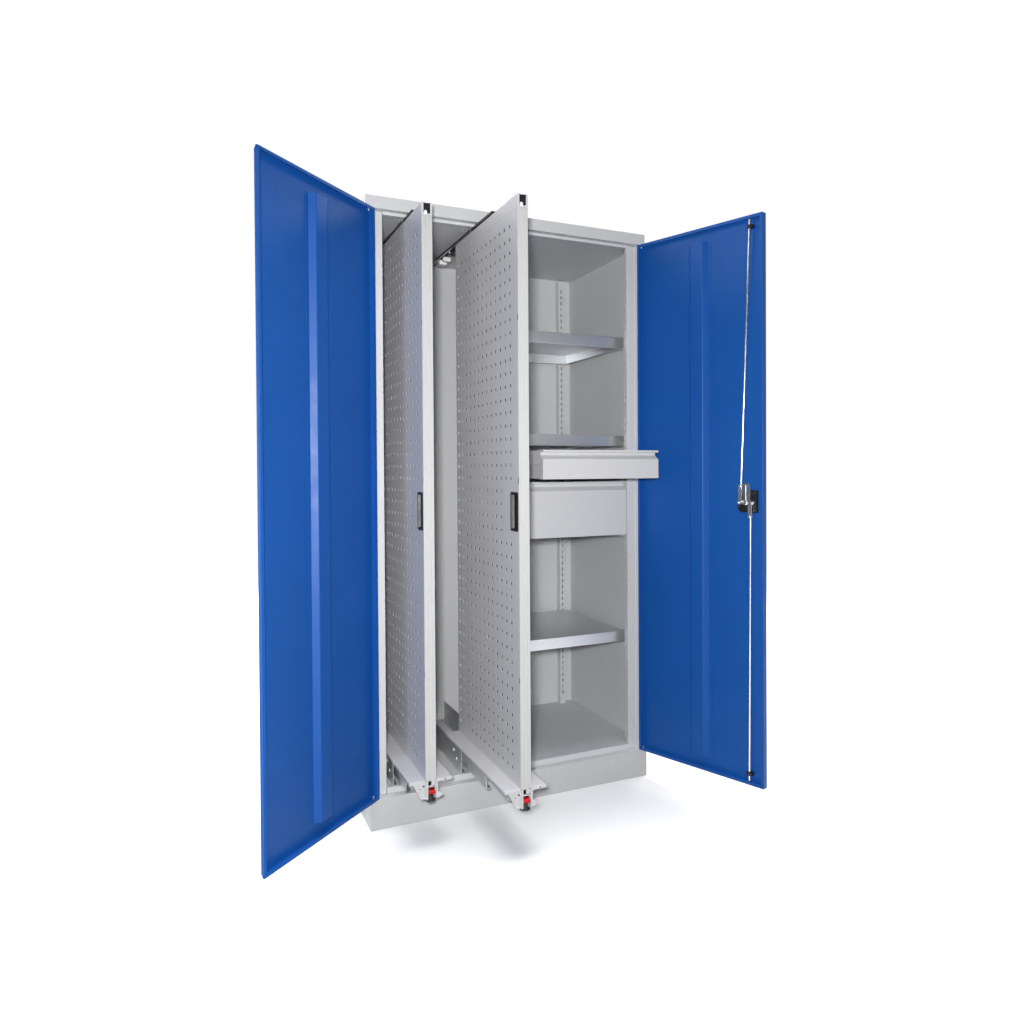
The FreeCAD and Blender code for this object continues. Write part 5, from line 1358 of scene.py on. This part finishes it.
@dataclass
class Studio:
    """Camera, soft lights and the pale floor."""

    camera_place: Point3 = (-0.9990, -2.6221, 1.1072)
    yaw: float = 24.859
    pitch: float = 0.702
    roll: float = -0.322
    lens: float = 26.677
    shift: Point2 = (-0.02646, -0.0318)
    floor_half: float = 30.0
    world: Colour = (1.0, 1.0, 1.0, 1.0)
    world_light: float = 0.12

    def add_camera(self) -> None:
        """Set up the camera at the photograph's viewing point."""
        yaw, pitch, roll = (math.radians(angle) for angle in (self.yaw, self.pitch, self.roll))
        ahead = Vector((math.sin(yaw) * math.cos(pitch), math.cos(yaw) * math.cos(pitch), -math.sin(pitch)))
        right = Vector((math.cos(yaw), -math.sin(yaw), 0.0))
        above = right.cross(ahead)
        side = right * math.cos(roll) + above * math.sin(roll)
        up = above * math.cos(roll) - right * math.sin(roll)
        turn = Matrix((side, up, -ahead)).transposed().to_4x4()
        data = bpy.data.cameras.new("camera")
        data.sensor_width = 36.0
        data.lens = self.lens
        data.shift_x, data.shift_y = self.shift
        data.clip_end = 100.0
        camera = bpy.data.objects.new("camera", data)
        camera.matrix_world = Matrix.Translation(self.camera_place) @ turn
        bpy.context.scene.collection.objects.link(camera)
        bpy.context.scene.camera = camera

    def add_floor(self) -> None:
        """Lay the pale floor."""
        data = bpy.data.meshes.new("studio_floor")
        half = self.floor_half
        data.from_pydata([(-half, -half, 0), (half, -half, 0), (half, half, 0), (-half, half, 0)], [], [(0, 1, 2, 3)])
        floor = bpy.data.objects.new("studio_floor", data)
        data.materials.append(Finish.FLOOR.material)
        bpy.context.scene.collection.objects.link(floor)
        floor.visible_diffuse = False

    def add_light(self, name: str, place: Point3, aim: Point3, size: Point2, power: float) -> None:
        """Hang one soft light.

        Args:
            name: Its name.
            place: Where it hangs, in metres.
            aim: The point that it faces.
            size: Width and height in metres.
            power: Its power in watts.
        """
        data = bpy.data.lights.new(name, "AREA")
        data.shape = "RECTANGLE"
        data.size, data.size_y = size
        data.energy = power
        light = bpy.data.objects.new(name, data)
        light.location = place
        light.rotation_euler = (Vector(aim) - Vector(place)).to_track_quat("-Z", "Y").to_euler()
        bpy.context.scene.collection.objects.link(light)

    def add_sky_light(self, name: str, spread: float, strength: float) -> None:
        """Hang a wide soft light that shines straight down on the whole floor.

        Args:
            name: Its name.
            spread: Its angle in degrees.
            strength: Its strength in watts per square metre.
        """
        data = bpy.data.lights.new(name, "SUN")
        data.angle = math.radians(spread)
        data.energy = strength
        light = bpy.data.objects.new(name, data)
        light.location = (0.0, 0.0, 4.0)
        bpy.context.scene.collection.objects.link(light)

    def add_world(self) -> None:
        """Set up the even light of the studio's walls."""
        world = bpy.data.worlds.new("studio")
        world.use_nodes = True
        tree = world.node_tree
        background = tree.nodes["Background"]
        background.inputs["Color"].default_value = self.world
        path = tree.nodes.new("ShaderNodeLightPath")
        level = tree.nodes.new("ShaderNodeMapRange")
        level.inputs["To Min"].default_value = self.world_light
        level.inputs["To Max"].default_value = 1.0
        tree.links.new(path.outputs["Is Camera Ray"], level.inputs["Value"])
        tree.links.new(level.outputs["Result"], background.inputs["Strength"])
        bpy.context.scene.world = world

    def dress(self) -> None:
        """Set up the studio."""
        self.add_camera()
        self.add_floor()
        self.add_world()
        self.add_light("camera_light", (-1.07, -2.66, 1.2), (-0.1, -0.2, 1.0), (0.12, 0.12), 66.0)
        self.add_light("left_softbox", (-3.6, 1.6, 2.2), (0.0, 0.1, 0.9), (3.0, 3.0), 110.0)
        self.add_light("right_softbox", (3.6, 1.2, 2.2), (0.0, 0.1, 0.9), (3.0, 3.0), 110.0)
        self.add_light("back_softbox", (0.0, 4.4, 2.4), (0.0, 0.3, 0.9), (3.0, 3.0), 170.0)
        self.add_sky_light("ceiling_light", 40.0, 3.15)
        view = bpy.context.scene.view_settings
        view.view_transform = "Standard"
        view.look = "None"


def coat_frame() -> None:
    """Give every node of the frame its finish."""
    slots = frame["record"].get("materials", {})
    LOG.info("%d nodes to coat", len(frame["nodes"]))
    for name, node in frame["nodes"].items():
        found = [key.material.name for key in node.material_slots if key.material]
        slot = next((key for key in SLOT_FINISH if any(word.startswith(key) for word in found)), "carcass_paint")
        material = SLOT_FINISH[slot].material
        if not node.material_slots:
            node.data.materials.append(material)
        for place in node.material_slots:
            place.link = "OBJECT"
            place.material = material


def main() -> None:
    """Dress the frame, piece by piece."""
    coat_frame()
    left = DoorLeaf("left", -137.4, -489.0)
    right = DoorLeaf("right", 109.7, 489.0)
    parts = [
        Studio(), Carcass(), Shelving(), GuideRails(), DrawerBay(), left, right, RodLock(right),
        PullOut(1, -364.0, 220.0), PullOut(2, -138.0, 394.0),
        Drawer(1, 206.0, 1078.0, 93.0), Drawer(2, 0.0, 873.0, 193.0),
    ]
    for part in parts:
        part.dress()
        LOG.info("%s done", type(part).__name__)


if __name__ == "__main__":
    main()
